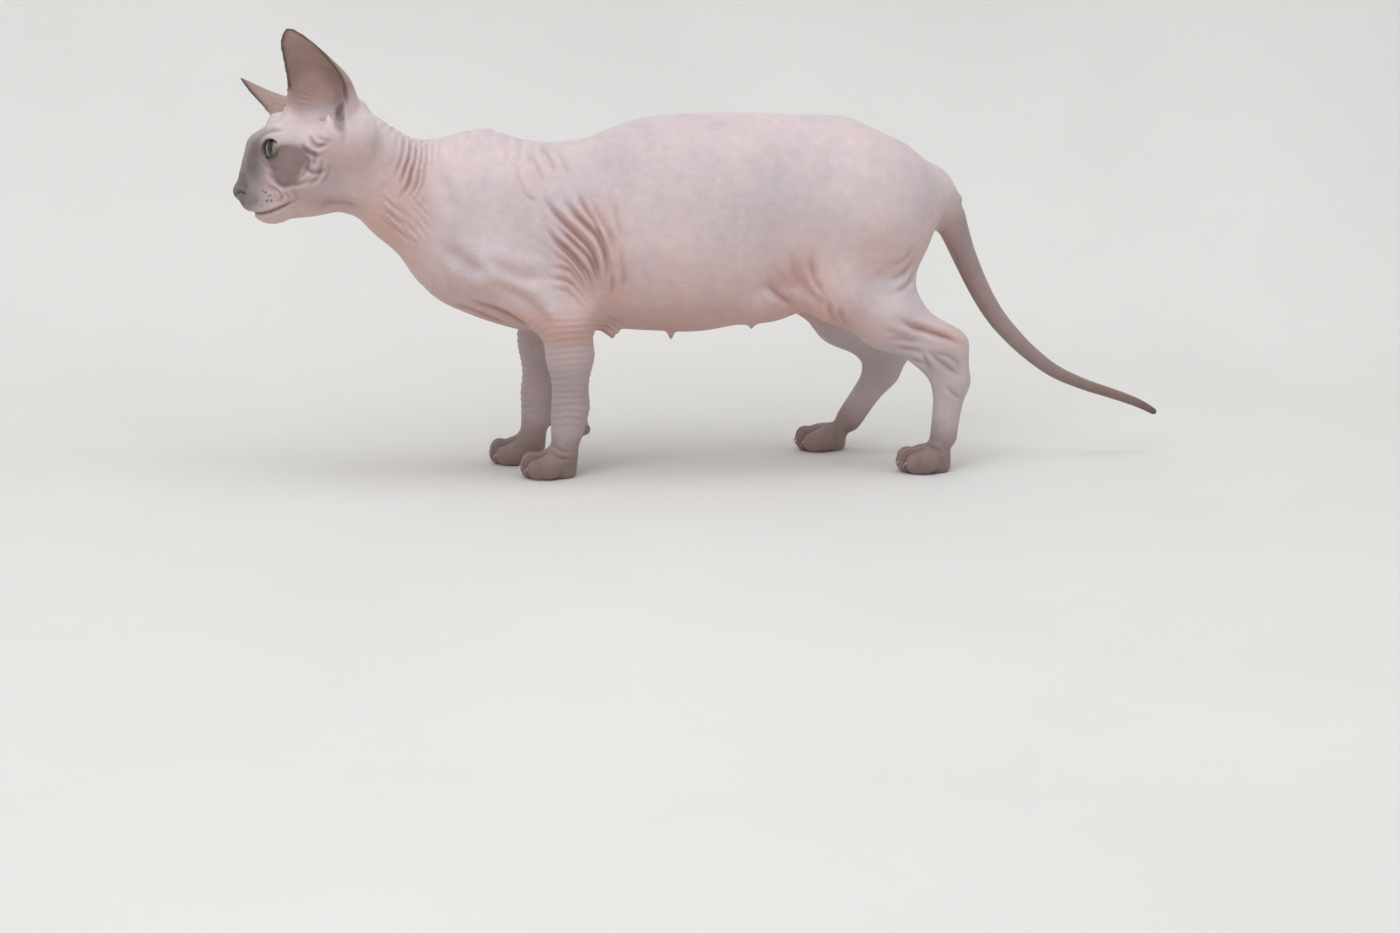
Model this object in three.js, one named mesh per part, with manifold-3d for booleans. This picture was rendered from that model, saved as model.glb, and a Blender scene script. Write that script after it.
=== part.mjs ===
// A hairless cat standing square, as a still, life-size model: millimetres, +Z up, head toward -X, tail toward +X.
// The body is one smooth field of blended masses. The field is sampled, thinned to a light mesh, and cut
// by planes into the parts that a person would name. Each cut leaves a gap of CUT_GAP between two parts.
import * as THREE from "three";
import { mergeVertices } from "three/addons/utils/BufferGeometryUtils.js";
import { edgeTable, triTable } from "three/addons/objects/MarchingCubes.js";
import Module from "manifold-3d";

const CUT_GAP = 0.3;
const FAR = 900;

// Where the tops and bottoms of the trunk lie, and its half width, station by station from the nape to the rump.
const TRUNK = [
  { x: -244, top: 244, bottom: 186, half: 27 },
  { x: -228, top: 246, bottom: 170, half: 30 },
  { x: -212, top: 241, bottom: 156, half: 31 },
  { x: -199, top: 235, bottom: 137, half: 34 },
  { x: -184, top: 235, bottom: 123, half: 40 },
  { x: -168, top: 239, bottom: 115, half: 45 },
  { x: -150, top: 242, bottom: 108, half: 48 },
  { x: -130, top: 235.5, bottom: 102, half: 50 },
  { x: -107, top: 232, bottom: 99, half: 50.5 },
  { x: -83, top: 234.5, bottom: 99.5, half: 51.5 },
  { x: -60, top: 242.5, bottom: 101, half: 54.5 },
  { x: -35, top: 249, bottom: 99.5, half: 59.5 },
  { x: -5, top: 251, bottom: 98.5, half: 62 },
  { x: 25, top: 252, bottom: 103, half: 60.5 },
  { x: 52, top: 251.5, bottom: 110, half: 56 },
  { x: 80, top: 250, bottom: 122, half: 55 },
  { x: 105, top: 248, bottom: 136, half: 54 },
  { x: 125, top: 239, bottom: 147, half: 50 },
  { x: 145, top: 229.5, bottom: 157, half: 43 },
  { x: 160, top: 218.5, bottom: 165, half: 34 },
  { x: 172, top: 208, bottom: 174, half: 22 },
  { x: 181, top: 197, bottom: 184, half: 8 },
];

// Centre line of the tail and its radius.
const TAIL = [
  { at: [166, 0, 196], r: 17 },
  { at: [180, 0, 176], r: 11.5 },
  { at: [191, 0, 151], r: 8.8 },
  { at: [203.5, 0, 125], r: 7.7 },
  { at: [216, 0, 105], r: 7 },
  { at: [229, 0, 90], r: 6.4 },
  { at: [244, 0, 76], r: 5.7 },
  { at: [262, 0, 63], r: 5 },
  { at: [284, 0, 53], r: 4.3 },
  { at: [306, 0, 45.5], r: 3.9 },
  { at: [326, 0, 38], r: 3.4 },
  { at: [339.5, 0, 30.5], r: 2.6 },
];

// Legs: each is a chain of joints with the radius of the flesh there. side is -1 on the cat's left.
const FRONT_LEGS = {
  left: {
    side: -1,
    shoulder: [-137, 29, 202, 18],
    point: [-146, 38, 150, 21],
    elbow: [-99, 40, 113, 18],
    forearm: [-96, 36, 88, 15],
    low: [-95.5, 30, 50, 11.5],
    wrist: [-97.5, 29, 36, 9.8],
    cannon: [-100, 28, 20, 9.5],
    paw: { x: -108, y: 27.5, length: 24, width: 14.5 },
  },
  right: {
    side: 1,
    shoulder: [-139, 29, 202, 18],
    point: [-152, 38, 150, 21],
    elbow: [-110, 40, 113, 18],
    forearm: [-111, 36, 88, 15],
    low: [-113.5, 30, 50, 11.2],
    wrist: [-115, 29, 36, 9.3],
    cannon: [-118.5, 28, 20, 9.3],
    paw: { x: -127, y: 28, length: 24, width: 14.5 },
  },
};
const HIND_LEGS = {
  left: {
    side: -1,
    hip: [121, 29, 182, 43],
    knee: [92, 37, 131, 23],
    calf: [128, 40, 111, 21],
    ankle: [163.5, 42, 87.5, 17],
    hock: [176, 42, 90, 8.6],
    shaft: [173, 43, 64, 11.2],
    low: [168.5, 44, 26, 9.6],
    paw: { x: 157, y: 44, length: 22.5, width: 14.5 },
  },
  right: {
    side: 1,
    hip: [120, 29, 182, 43],
    knee: [87, 38, 127, 23],
    calf: [113, 42, 102, 20.5],
    ankle: [144, 45, 76, 16],
    hock: [159, 46, 79, 8.4],
    shaft: [143, 47, 58, 11],
    low: [119, 48, 23, 9.6],
    paw: { x: 100, y: 48, length: 21.5, width: 14.5 },
  },
};

// Eyes: the ball, the way it looks, and the almond opening of the lids.
const EYE = {
  at: [-288.4, 17, 229.4],
  radius: 10.4,
  outward: [-0.83, 0.555, 0.03],
  slant: 0.5,
  halfLength: 9.8,
  halfHeight: 6.7,
  lid: 1.8,
};

// Ears: the front margin, the rear margin and the hollow back of each cup, from the root to the tip.
const EARS = {
  left: {
    side: -1,
    front: [
      [-279, 16, 243],
      [-285, 27, 257],
      [-282, 31, 272],
      [-283.5, 35, 287],
      [-285.5, 39, 300],
      [-283.5, 41.5, 307.5],
      [-280.5, 43, 310.5],
    ],
    rear: [
      [-247, 42, 242],
      [-244, 46, 256],
      [-247, 47, 273],
      [-255.5, 47, 287.5],
      [-266, 46, 300],
      [-274, 44.5, 307.3],
      [-279, 43.5, 310.3],
    ],
    back: [
      [-243, 20, 239],
      [-240, 20, 256],
      [-249, 22, 271],
      [-260.5, 28, 286],
      [-272.5, 36, 299],
      [-279, 41.5, 307],
      [-280, 42.6, 310.2],
    ],
  },
  right: {
    side: 1,
    front: [
      [-286, 17, 242],
      [-296, 20, 249],
      [-301, 25, 254.5],
      [-306, 32, 260],
      [-312, 40, 266.5],
      [-316.5, 45, 272.5],
      [-318.4, 48, 275.2],
    ],
    rear: [
      [-254, 44, 233],
      [-263, 51, 241],
      [-276, 56, 247.5],
      [-289, 57, 254],
      [-302, 55, 262.5],
      [-312.5, 51.5, 271],
      [-317.6, 49, 275],
    ],
    back: [
      [-240, 22, 246],
      [-255, 26, 256],
      [-271, 31, 260.5],
      [-287, 37, 263],
      [-302, 44, 268.5],
      [-313, 47.6, 273.6],
      [-318, 48.6, 275.8],
    ],
  },
};
const EAR_THICKNESS = 2.4;

// Teats: x, half spacing and how far they stand out below the belly.
const TEATS = [
  { x: -66, y: 24, z: 104.5 },
  { x: -24, y: 24, z: 102.5 },
  { x: 33, y: 25, z: 109 },
];

const COLOURS = {
  skin: 0xcbbcba,
  face: 0x9a8f8f,
  ear: 0x94766b,
  foot: 0x93817f,
  tail: 0x85736e,
  eye: 0xb9c08a,
};

const clamp = (v, low, high) => Math.min(high, Math.max(low, v));

// Smooth union of two signed distances over a blend of width k.
function blend(a, b, k) {
  const h = k - Math.abs(a - b);
  return h > 0 ? Math.min(a, b) - (h * h) / (4 * k) : Math.min(a, b);
}

// Signed distance to a capsule with a radius at each end, made thinner from side to side by squash.
function taper(p, q, squash = 1) {
  const [ax, ay, az, ra] = p;
  const [bx, by, bz, rb] = q;
  const dx = bx - ax;
  const dy = (by - ay) * squash;
  const dz = bz - az;
  const len2 = dx * dx + dy * dy + dz * dz;
  return (x, y, z) => {
    const px = x - ax;
    const py = (y - ay) * squash;
    const pz = z - az;
    const t = clamp((px * dx + py * dy + pz * dz) / len2, 0, 1);
    return Math.hypot(px - dx * t, py - dy * t, pz - dz * t) - (ra + (rb - ra) * t);
  };
}

// Near signed distance to an ellipsoid, turned about the y axis by pitch.
function egg([cx, cy, cz], [rx, ry, rz], pitch = 0) {
  const c = Math.cos(pitch);
  const s = Math.sin(pitch);
  return (x, y, z) => {
    const dx = x - cx;
    const dz = z - cz;
    const u = (c * dx + s * dz) / rx;
    const v = (y - cy) / ry;
    const w = (-s * dx + c * dz) / rz;
    const k0 = Math.hypot(u, v, w);
    const k1 = Math.hypot(u / rx, v / ry, w / rz);
    return k1 < 1e-9 ? -Math.min(rx, ry, rz) : (k0 * (k0 - 1)) / k1;
  };
}

// Catmull-Rom value through evenly numbered stations.
function through(values, i, t) {
  const a = values[Math.max(i - 1, 0)];
  const b = values[i];
  const c = values[Math.min(i + 1, values.length - 1)];
  const d = values[Math.min(i + 2, values.length - 1)];
  return 0.5 * (2 * b + (c - a) * t + (2 * a - 5 * b + 4 * c - d) * t * t + (3 * b - a - 3 * c + d) * t * t * t);
}

// The trunk as a table of sections, one a millimetre.
function trunkTable() {
  const first = TRUNK[0].x;
  const last = TRUNK[TRUNK.length - 1].x;
  const rows = [];
  for (let x = first; x <= last; x += 1) {
    let i = 0;
    while (i < TRUNK.length - 2 && TRUNK[i + 1].x <= x) i += 1;
    const t = (x - TRUNK[i].x) / (TRUNK[i + 1].x - TRUNK[i].x);
    const at = (key) => through(TRUNK.map((s) => s[key]), i, t);
    rows.push({ top: at("top"), bottom: at("bottom"), half: at("half") });
  }
  return { first, last, rows };
}
const TABLE = trunkTable();

function trunk(x, y, z) {
  const cx = clamp(x, TABLE.first, TABLE.last - 0.001);
  const i = Math.floor(cx - TABLE.first);
  const t = cx - TABLE.first - i;
  const a = TABLE.rows[i];
  const b = TABLE.rows[Math.min(i + 1, TABLE.rows.length - 1)];
  const top = a.top + (b.top - a.top) * t;
  const bottom = a.bottom + (b.bottom - a.bottom) * t;
  const half = a.half + (b.half - a.half) * t;
  const high = (top - bottom) / 2;
  const dz = z - (top + bottom) / 2;
  const lean = half * (1 - 0.1 * clamp(dz / high, -1, 1));
  const r = Math.pow(Math.pow(Math.abs(y) / lean, 2.25) + Math.pow(Math.abs(dz) / high, 2.25), 1 / 2.25);
  const radial = Math.hypot(y, dz);
  const d = r < 1e-6 ? -Math.min(half, high) : radial * (1 - 1 / r);
  return Math.hypot(Math.max(d, 0), x - cx) + Math.min(d, 0);
}

const mirrorY = (shape, side) => (x, y, z) => shape(x, y * side, z);

// A chain of masses joined by one blend width.
function chain(shapes, k) {
  return (x, y, z) => {
    let d = shapes[0](x, y, z);
    for (let i = 1; i < shapes.length; i += 1) d = blend(d, shapes[i](x, y, z), k);
    return d;
  };
}

// Four toes on a pad; the two middle toes reach furthest. Soles are flat at z = 0.
function paw({ x, y, length, width }) {
  const toes = [-1, -0.34, 0.34, 1].map((place) => {
    const back = Math.abs(place) > 0.5 ? 4.5 : 0;
    const ty = y + place * width * 0.66;
    return chain(
      [
        egg([x - length * 0.62 + back, ty, 7], [8.2, 4.9, 7.4], -0.25),
        egg([x - length * 0.3 + back, ty, 11.5], [9, 4.8, 6.5], 0.35),
      ],
      3,
    );
  });
  const toeUnion = (px, py, pz) => Math.min(...toes.map((toe) => toe(px, py, pz)));
  const body = egg([x + 1, y, 9.5], [15.5, width * 0.86, 10.5], 0.12);
  const heel = egg([x + 5, y, 4], [11, width * 0.72, 7]);
  return (px, py, pz) => blend(blend(body(px, py, pz), heel(px, py, pz), 4), toeUnion(px, py, pz), 2.2);
}

function frontLeg(leg) {
  const upper = chain(
    [
      taper(leg.shoulder, leg.point, 1.1),
      taper(leg.point, leg.elbow),
      taper(leg.elbow, leg.forearm),
      taper(leg.forearm, leg.low),
      taper(leg.low, leg.wrist, 1.05),
      taper(leg.wrist, leg.cannon, 0.95),
    ],
    8,
  );
  const foot = paw(leg.paw);
  const knob = egg([leg.wrist[0] + 11.2, leg.wrist[1], leg.wrist[2]], [3.6, 3.2, 3.4]);
  const whole = (x, y, z) => {
    const shaft = upper(x, y, z);
    if (z > 52) return shaft;
    return blend(blend(shaft, foot(x, y, z), 7), knob(x, y, z), 3);
  };
  return mirrorY(whole, leg.side);
}

function hindLeg(leg) {
  const [hx, hy, hz, hr] = leg.hip;
  const thigh = egg([hx, hy, hz], [hr - 2, 32, hr + 9]);
  const web = taper([leg.hip[0] + 7, leg.hip[1], leg.hip[2] - 28, 19], leg.calf, 1.2);
  const upper = chain(
    [
      thigh,
      taper([hx - 8, hy + 2, hz - 12, 36], leg.knee, 1.15),
      taper(leg.knee, leg.calf, 1.15),
      web,
      taper(leg.calf, leg.ankle, 1.5),
      taper(leg.ankle, leg.shaft, 1.45),
      taper(leg.hock, [leg.shaft[0] + 4, leg.shaft[1], leg.shaft[2] + 4, 7], 1.1),
      taper(leg.shaft, leg.low, 1.12),
    ],
    9,
  );
  const foot = paw(leg.paw);
  const whole = (x, y, z) => {
    const shaft = upper(x, y, z);
    return z > 52 ? shaft : blend(shaft, foot(x, y, z), 7);
  };
  return mirrorY(whole, leg.side);
}

const tailField = chain(
  TAIL.slice(1).map((_, i) => taper([...TAIL[i].at, TAIL[i].r], [...TAIL[i + 1].at, TAIL[i + 1].r])),
  3,
);

// Height of the mouth line along the muzzle.
function mouthHeight(x) {
  return 186.4 + 0.0125 * Math.pow(Math.max(0, x + 300), 2) + 0.06 * Math.max(0, x + 292);
}

const headMasses = [
  [egg([-262, 0, 226], [40, 34.5, 35], 0.05), 1],
  [egg([-240, 0, 221], [25, 31, 30]), 12],
  [egg([-287, 12, 236], [14, 15, 13]), 9],
  [egg([-272, 19, 211], [22, 16.5, 20]), 9],
  [taper([-262, 15, 202, 16], [-290, 7, 189.5, 9]), 8],
  [egg([-270, 0, 198], [25, 22, 13.5]), 8],
  [taper([-300, 0, 227.5, 13.6], [-308, 0, 210, 10]), 8],
  [taper([-300, 4, 212, 14], [-307, 4, 200, 11]), 7],
  [egg([-316.4, 0, 200], [6.4, 7, 6.3], -0.5), 5],
  [egg([-304.5, 8.2, 194.8], [13, 9.8, 9.9]), 4],
  [egg([-296.5, 0, 185], [12.3, 10.5, 7.4]), 4],
  [egg([-243, 31, 239], [20.5, 13.5, 20]), 9],
];
const nostril = taper([-320.6, 3.6, 198.6, 1.5], [-315.5, 6.8, 199.6, 1.3]);
// Flesh that carries each ear up from the skull, at its front margin and at the back of its cup.
const earRoots = {
  left: chain([taper([-277, 18, 240, 10], [-282, 24, 255, 4]), taper([-245, 26, 240, 14], [-240, 23, 256, 6])], 7),
  right: chain([taper([-282, 16, 238, 10], [-293, 19, 247, 4]), taper([-246, 28, 241, 13], [-257, 29, 253, 6])], 7),
};
const lidBall = egg([EYE.at[0], EYE.at[1], EYE.at[2]], Array(3).fill(EYE.radius + EYE.lid));

function head(x, y, z) {
  const ay = Math.abs(y);
  let d = headMasses[0][0](x, ay, z);
  for (let i = 1; i < headMasses.length; i += 1) d = blend(d, headMasses[i][0](x, ay, z), headMasses[i][1]);
  if (z > 222 && ay > 3) d = blend(d, y < 0 ? earRoots.left(x, ay, z) : earRoots.right(x, ay, z), 10);
  d = blend(d, lidBall(x, ay, z), 5);
  if (x < -276 && z < 210) {
    const line = (z - mouthHeight(x)) / 1.0;
    const end = clamp((-277 - x) / 5, 0, 1);
    d += 1.25 * end * Math.exp(-line * line);
    const cleft = (ay / 1.1) ** 2;
    d += 1.3 * Math.exp(-cleft) * clamp((-309 - x) / 4, 0, 1) * clamp((196 - z) / 2, 0, 1) * clamp((z - 186) / 2, 0, 1);
  }
  return Math.max(d, -nostril(x, ay, z));
}

const LIMBS = [
  { field: frontLeg(FRONT_LEGS.left), box: [-185, -70, -75, 0, -5, 235] },
  { field: frontLeg(FRONT_LEGS.right), box: [-185, -80, 0, 75, -5, 235] },
  { field: hindLeg(HIND_LEGS.left), box: [60, 195, -75, 5, -5, 240] },
  { field: hindLeg(HIND_LEGS.right), box: [60, 185, -5, 80, -5, 240] },
];

// How far a point lies outside a box of low and high sides.
function outside(x, y, z, [x0, x1, y0, y1, z0, z1]) {
  return Math.hypot(Math.max(x0 - x, x - x1, 0), Math.max(y0 - y, y - y1, 0), Math.max(z0 - z, z - z1, 0));
}

const teats = chain(
  TEATS.map(({ x, y, z }) => taper([x, y, z + 8, 5.5], [x, y, z - 1, 2.6])),
  2,
);
const breast = egg([40, 26, 124], [30, 24, 17]);

function body(x, y, z) {
  let d = trunk(x, y, z);
  if (z < 130 && x > -90 && x < 80) {
    d = blend(d, breast(x, Math.abs(y), z), 10);
    d = blend(d, teats(x, Math.abs(y), z), 5);
  }
  for (const { field, box } of LIMBS) {
    const far = outside(x, y, z, box);
    if (far < d + 16 || far < 16) d = blend(d, far > 30 ? far : field(x, y, z), 14);
  }
  if (x < -180) d = blend(d, head(x, y, z), 14);
  if (x > 140) d = blend(d, tailField(x, y, z), 9);
  return d;
}

// Samples a field over a box by marching cubes, looking only at blocks that the surface can cross.
function sample(field, [x0, x1, y0, y1, z0, z1], step) {
  const block = 6;
  const n = [x1 - x0, y1 - y0, z1 - z0].map((size) => Math.ceil(size / step / block) * block + 1);
  const value = new Float32Array(n[0] * n[1] * n[2]).fill(NaN);
  const index = (i, j, k) => i + n[0] * (j + n[1] * k);
  const at = (i, j, k) => {
    const q = index(i, j, k);
    if (Number.isNaN(value[q])) {
      const edge = i === 0 || j === 0 || k === 0 || i === n[0] - 1 || j === n[1] - 1 || k === n[2] - 1;
      value[q] = edge ? 1 : field(x0 + i * step, y0 + j * step, z0 + k * step);
    }
    return value[q];
  };
  const reach = block * step * 0.87 * 1.5 + 2;
  const vertices = [];
  const faces = [];
  const seen = new Map();
  const corners = [
    [0, 0, 0],
    [1, 0, 0],
    [1, 1, 0],
    [0, 1, 0],
    [0, 0, 1],
    [1, 0, 1],
    [1, 1, 1],
    [0, 1, 1],
  ];
  const edges = [
    [0, 1, 0],
    [1, 2, 1],
    [3, 2, 0],
    [0, 3, 1],
    [4, 5, 0],
    [5, 6, 1],
    [7, 6, 0],
    [4, 7, 1],
    [0, 4, 2],
    [1, 5, 2],
    [2, 6, 2],
    [3, 7, 2],
  ];
  const vertexOn = (i, j, k, [from, to, axis]) => {
    const a = corners[from];
    const key = index(i + a[0], j + a[1], k + a[2]) * 3 + axis;
    if (seen.has(key)) return seen.get(key);
    const b = corners[to];
    const fa = at(i + a[0], j + a[1], k + a[2]);
    const fb = at(i + b[0], j + b[1], k + b[2]);
    const t = clamp(fa / (fa - fb), 0.04, 0.96);
    vertices.push(
      x0 + (i + a[0] + (b[0] - a[0]) * t) * step,
      y0 + (j + a[1] + (b[1] - a[1]) * t) * step,
      z0 + (k + a[2] + (b[2] - a[2]) * t) * step,
    );
    seen.set(key, vertices.length / 3 - 1);
    return vertices.length / 3 - 1;
  };
  const cell = (i, j, k) => {
    let mask = 0;
    for (let c = 0; c < 8; c += 1) {
      if (at(i + corners[c][0], j + corners[c][1], k + corners[c][2]) < 0) mask |= 1 << c;
    }
    if (edgeTable[mask] === 0) return;
    for (let q = mask * 16; triTable[q] !== -1; q += 3) {
      const [a, b, c] = [0, 1, 2].map((o) => vertexOn(i, j, k, edges[triTable[q + o]]));
      faces.push(a, c, b);
    }
  };
  for (let bk = 0; bk < n[2] - 1; bk += block) {
    for (let bj = 0; bj < n[1] - 1; bj += block) {
      for (let bi = 0; bi < n[0] - 1; bi += block) {
        const mid = block / 2;
        const m = field(x0 + (bi + mid) * step, y0 + (bj + mid) * step, z0 + (bk + mid) * step);
        const rim =
          bi === 0 || bj === 0 || bk === 0 || bi + block >= n[0] - 1 || bj + block >= n[1] - 1 || bk + block >= n[2] - 1;
        if (m > reach || (m < -reach && !rim)) continue;
        for (let k = bk; k < bk + block; k += 1) {
          for (let j = bj; j < bj + block; j += 1) for (let i = bi; i < bi + block; i += 1) cell(i, j, k);
        }
      }
    }
  }
  return { vertices, faces };
}

// Thins a closed mesh to a number of faces by folding edges, cheapest first, where the cost is the squared
// distance to the planes of the first mesh. weight(x, y, z) keeps more faces where it is high.
function thin({ vertices, faces }, target, weight = () => 1) {
  const pos = Float64Array.from(vertices);
  const tri = Int32Array.from(faces);
  const count = pos.length / 3;
  const alive = new Uint8Array(tri.length / 3).fill(1);
  const around = Array.from({ length: count }, () => []);
  const quad = new Float64Array(count * 10);
  const age = new Int32Array(count);
  const gone = new Uint8Array(count);
  const normal = (a, b, c) => {
    const ux = pos[b * 3] - pos[a * 3];
    const uy = pos[b * 3 + 1] - pos[a * 3 + 1];
    const uz = pos[b * 3 + 2] - pos[a * 3 + 2];
    const vx = pos[c * 3] - pos[a * 3];
    const vy = pos[c * 3 + 1] - pos[a * 3 + 1];
    const vz = pos[c * 3 + 2] - pos[a * 3 + 2];
    return [uy * vz - uz * vy, uz * vx - ux * vz, ux * vy - uy * vx];
  };
  for (let f = 0; f < tri.length / 3; f += 1) {
    const [a, b, c] = [tri[f * 3], tri[f * 3 + 1], tri[f * 3 + 2]];
    const m = normal(a, b, c);
    const len = Math.hypot(...m) || 1e-12;
    const [nx, ny, nz] = m.map((v) => v / len);
    const w = weight(pos[a * 3], pos[a * 3 + 1], pos[a * 3 + 2]);
    const area = (len / 2) * w * w;
    const d = -(nx * pos[a * 3] + ny * pos[a * 3 + 1] + nz * pos[a * 3 + 2]);
    const q = [nx * nx, nx * ny, nx * nz, nx * d, ny * ny, ny * nz, ny * d, nz * nz, nz * d, d * d];
    for (const v of [a, b, c]) {
      around[v].push(f);
      for (let o = 0; o < 10; o += 1) quad[v * 10 + o] += q[o] * area;
    }
  }
  const ring = (v) => {
    const out = new Set();
    for (const f of around[v]) for (let o = 0; o < 3; o += 1) if (tri[f * 3 + o] !== v) out.add(tri[f * 3 + o]);
    return out;
  };
  const fold = (a, b) => {
    const q = [];
    for (let o = 0; o < 10; o += 1) q.push(quad[a * 10 + o] + quad[b * 10 + o]);
    const mx = (pos[a * 3] + pos[b * 3]) / 2;
    const my = (pos[a * 3 + 1] + pos[b * 3 + 1]) / 2;
    const mz = (pos[a * 3 + 2] + pos[b * 3 + 2]) / 2;
    const soft = (q[0] + q[4] + q[7]) * 1e-3 + 1e-9;
    const [A, B, C, E, F, H] = [q[0] + soft, q[1], q[2], q[4] + soft, q[5], q[7] + soft];
    const [p, r, s] = [-q[3] + soft * mx, -q[6] + soft * my, -q[8] + soft * mz];
    const c0 = E * H - F * F;
    const c1 = C * F - B * H;
    const c2 = B * F - C * E;
    const det = A * c0 + B * c1 + C * c2;
    let [x, y, z] = [mx, my, mz];
    if (Math.abs(det) > 1e-12) {
      x = (c0 * p + c1 * r + c2 * s) / det;
      y = (c1 * p + (A * H - C * C) * r + (B * C - A * F) * s) / det;
      z = (c2 * p + (B * C - A * F) * r + (A * E - B * B) * s) / det;
    }
    const cost =
      q[0] * x * x + 2 * q[1] * x * y + 2 * q[2] * x * z + 2 * q[3] * x + q[4] * y * y + 2 * q[5] * y * z +
      2 * q[6] * y + q[7] * z * z + 2 * q[8] * z + q[9];
    const w = weight(mx, my, mz);
    const span = (pos[a * 3] - pos[b * 3]) ** 2 + (pos[a * 3 + 1] - pos[b * 3 + 1]) ** 2 + (pos[a * 3 + 2] - pos[b * 3 + 2]) ** 2;
    return { cost: Math.max(cost, 0) + 1e-4 * span * w * w, at: [x, y, z] };
  };
  const heap = [];
  const push = (item) => {
    let i = heap.push(item) - 1;
    while (i > 0) {
      const up = (i - 1) >> 1;
      if (heap[up].cost <= heap[i].cost) break;
      [heap[up], heap[i]] = [heap[i], heap[up]];
      i = up;
    }
  };
  const pop = () => {
    const top = heap[0];
    const last = heap.pop();
    if (heap.length) {
      heap[0] = last;
      let i = 0;
      for (;;) {
        let low = i;
        const left = 2 * i + 1;
        if (left < heap.length && heap[left].cost < heap[low].cost) low = left;
        if (left + 1 < heap.length && heap[left + 1].cost < heap[low].cost) low = left + 1;
        if (low === i) break;
        [heap[low], heap[i]] = [heap[i], heap[low]];
        i = low;
      }
    }
    return top;
  };
  const offer = (a, b) => {
    const { cost, at } = fold(a, b);
    push({ cost, at, a, b, ages: age[a] + age[b] });
  };
  for (let v = 0; v < count; v += 1) for (const u of ring(v)) if (u > v) offer(v, u);
  let left = alive.length;
  while (left > target && heap.length) {
    const { at, a, b, ages } = pop();
    if (gone[a] || gone[b] || age[a] + age[b] !== ages) continue;
    const ringA = ring(a);
    const ringB = ring(b);
    let shared = 0;
    for (const v of ringA) if (ringB.has(v)) shared += 1;
    if (shared !== 2) continue;
    let bad = false;
    for (const [v, other] of [
      [a, b],
      [b, a],
    ]) {
      for (const f of around[v]) {
        const t = [tri[f * 3], tri[f * 3 + 1], tri[f * 3 + 2]];
        if (t.includes(other)) continue;
        const before = normal(...t);
        const keep = [pos[v * 3], pos[v * 3 + 1], pos[v * 3 + 2]];
        [pos[v * 3], pos[v * 3 + 1], pos[v * 3 + 2]] = at;
        const after = normal(...t);
        [pos[v * 3], pos[v * 3 + 1], pos[v * 3 + 2]] = keep;
        const dot = before[0] * after[0] + before[1] * after[1] + before[2] * after[2];
        const size = Math.hypot(...before) * Math.hypot(...after);
        if (dot < 0.35 * size || Math.hypot(...after) < 1e-4) {
          bad = true;
          break;
        }
      }
      if (bad) break;
    }
    if (bad) continue;
    [pos[a * 3], pos[a * 3 + 1], pos[a * 3 + 2]] = at;
    for (let o = 0; o < 10; o += 1) quad[a * 10 + o] += quad[b * 10 + o];
    for (const f of around[b]) {
      const hasA = tri[f * 3] === a || tri[f * 3 + 1] === a || tri[f * 3 + 2] === a;
      if (hasA) {
        alive[f] = 0;
        left -= 1;
      } else {
        for (let o = 0; o < 3; o += 1) if (tri[f * 3 + o] === b) tri[f * 3 + o] = a;
        around[a].push(f);
      }
    }
    gone[b] = 1;
    around[b] = [];
    around[a] = around[a].filter((f) => alive[f]);
    for (const v of ringB) around[v] = around[v].filter((f) => alive[f]);
    for (const v of ringA) around[v] = around[v].filter((f) => alive[f]);
    age[a] += 1;
    for (const v of ring(a)) offer(a, v);
  }
  const name = new Map();
  const outV = [];
  const outF = [];
  for (let f = 0; f < alive.length; f += 1) {
    if (!alive[f]) continue;
    for (let o = 0; o < 3; o += 1) {
      const v = tri[f * 3 + o];
      if (!name.has(v)) {
        name.set(v, outV.length / 3);
        outV.push(pos[v * 3], pos[v * 3 + 1], pos[v * 3 + 2]);
      }
      outF.push(name.get(v));
    }
  }
  return { vertices: outV, faces: outF };
}

const wasm = await Module();
wasm.setup();

function solid({ vertices, faces }) {
  return new wasm.Manifold(
    new wasm.Mesh({ numProp: 3, vertProperties: Float32Array.from(vertices), triVerts: Uint32Array.from(faces) }),
  );
}

function solidOf(geometry) {
  const g = geometry.clone();
  for (const key of Object.keys(g.attributes)) if (key !== "position") g.deleteAttribute(key);
  const merged = mergeVertices(g, 1e-4);
  return solid({ vertices: merged.attributes.position.array, faces: merged.index.array });
}

function geometryOf(made) {
  const mesh = made.getMesh();
  const g = new THREE.BufferGeometry();
  g.setAttribute("position", new THREE.BufferAttribute(Float32Array.from(mesh.vertProperties), 3));
  g.setIndex(new THREE.BufferAttribute(Uint32Array.from(mesh.triVerts), 1));
  g.computeVertexNormals();
  return g;
}

// Only the largest closed surface of a solid.
function largest(made) {
  return made.decompose().reduce((best, piece) => (piece.volume() > best.volume() ? piece : best));
}

// The same solid without the slivers that cuts and joins leave.
function neat(made, keep = 0.9) {
  const mesh = largest(made).getMesh();
  const faces = Array.from(mesh.triVerts);
  return solid(thin({ vertices: mesh.vertProperties, faces }, (faces.length / 3) * keep));
}

// All of space beyond a plane through `at` on the side that `way` points to, grown by `gap` toward the plane.
function beyond(at, way, gap = 0) {
  const n = new THREE.Vector3(...way).normalize();
  const g = new THREE.BoxGeometry(FAR, FAR, FAR);
  g.translate(0, 0, FAR / 2);
  g.applyQuaternion(new THREE.Quaternion().setFromUnitVectors(new THREE.Vector3(0, 0, 1), n));
  const o = new THREE.Vector3(...at).addScaledVector(n, -gap);
  g.translate(o.x, o.y, o.z);
  return solidOf(g);
}

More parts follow.
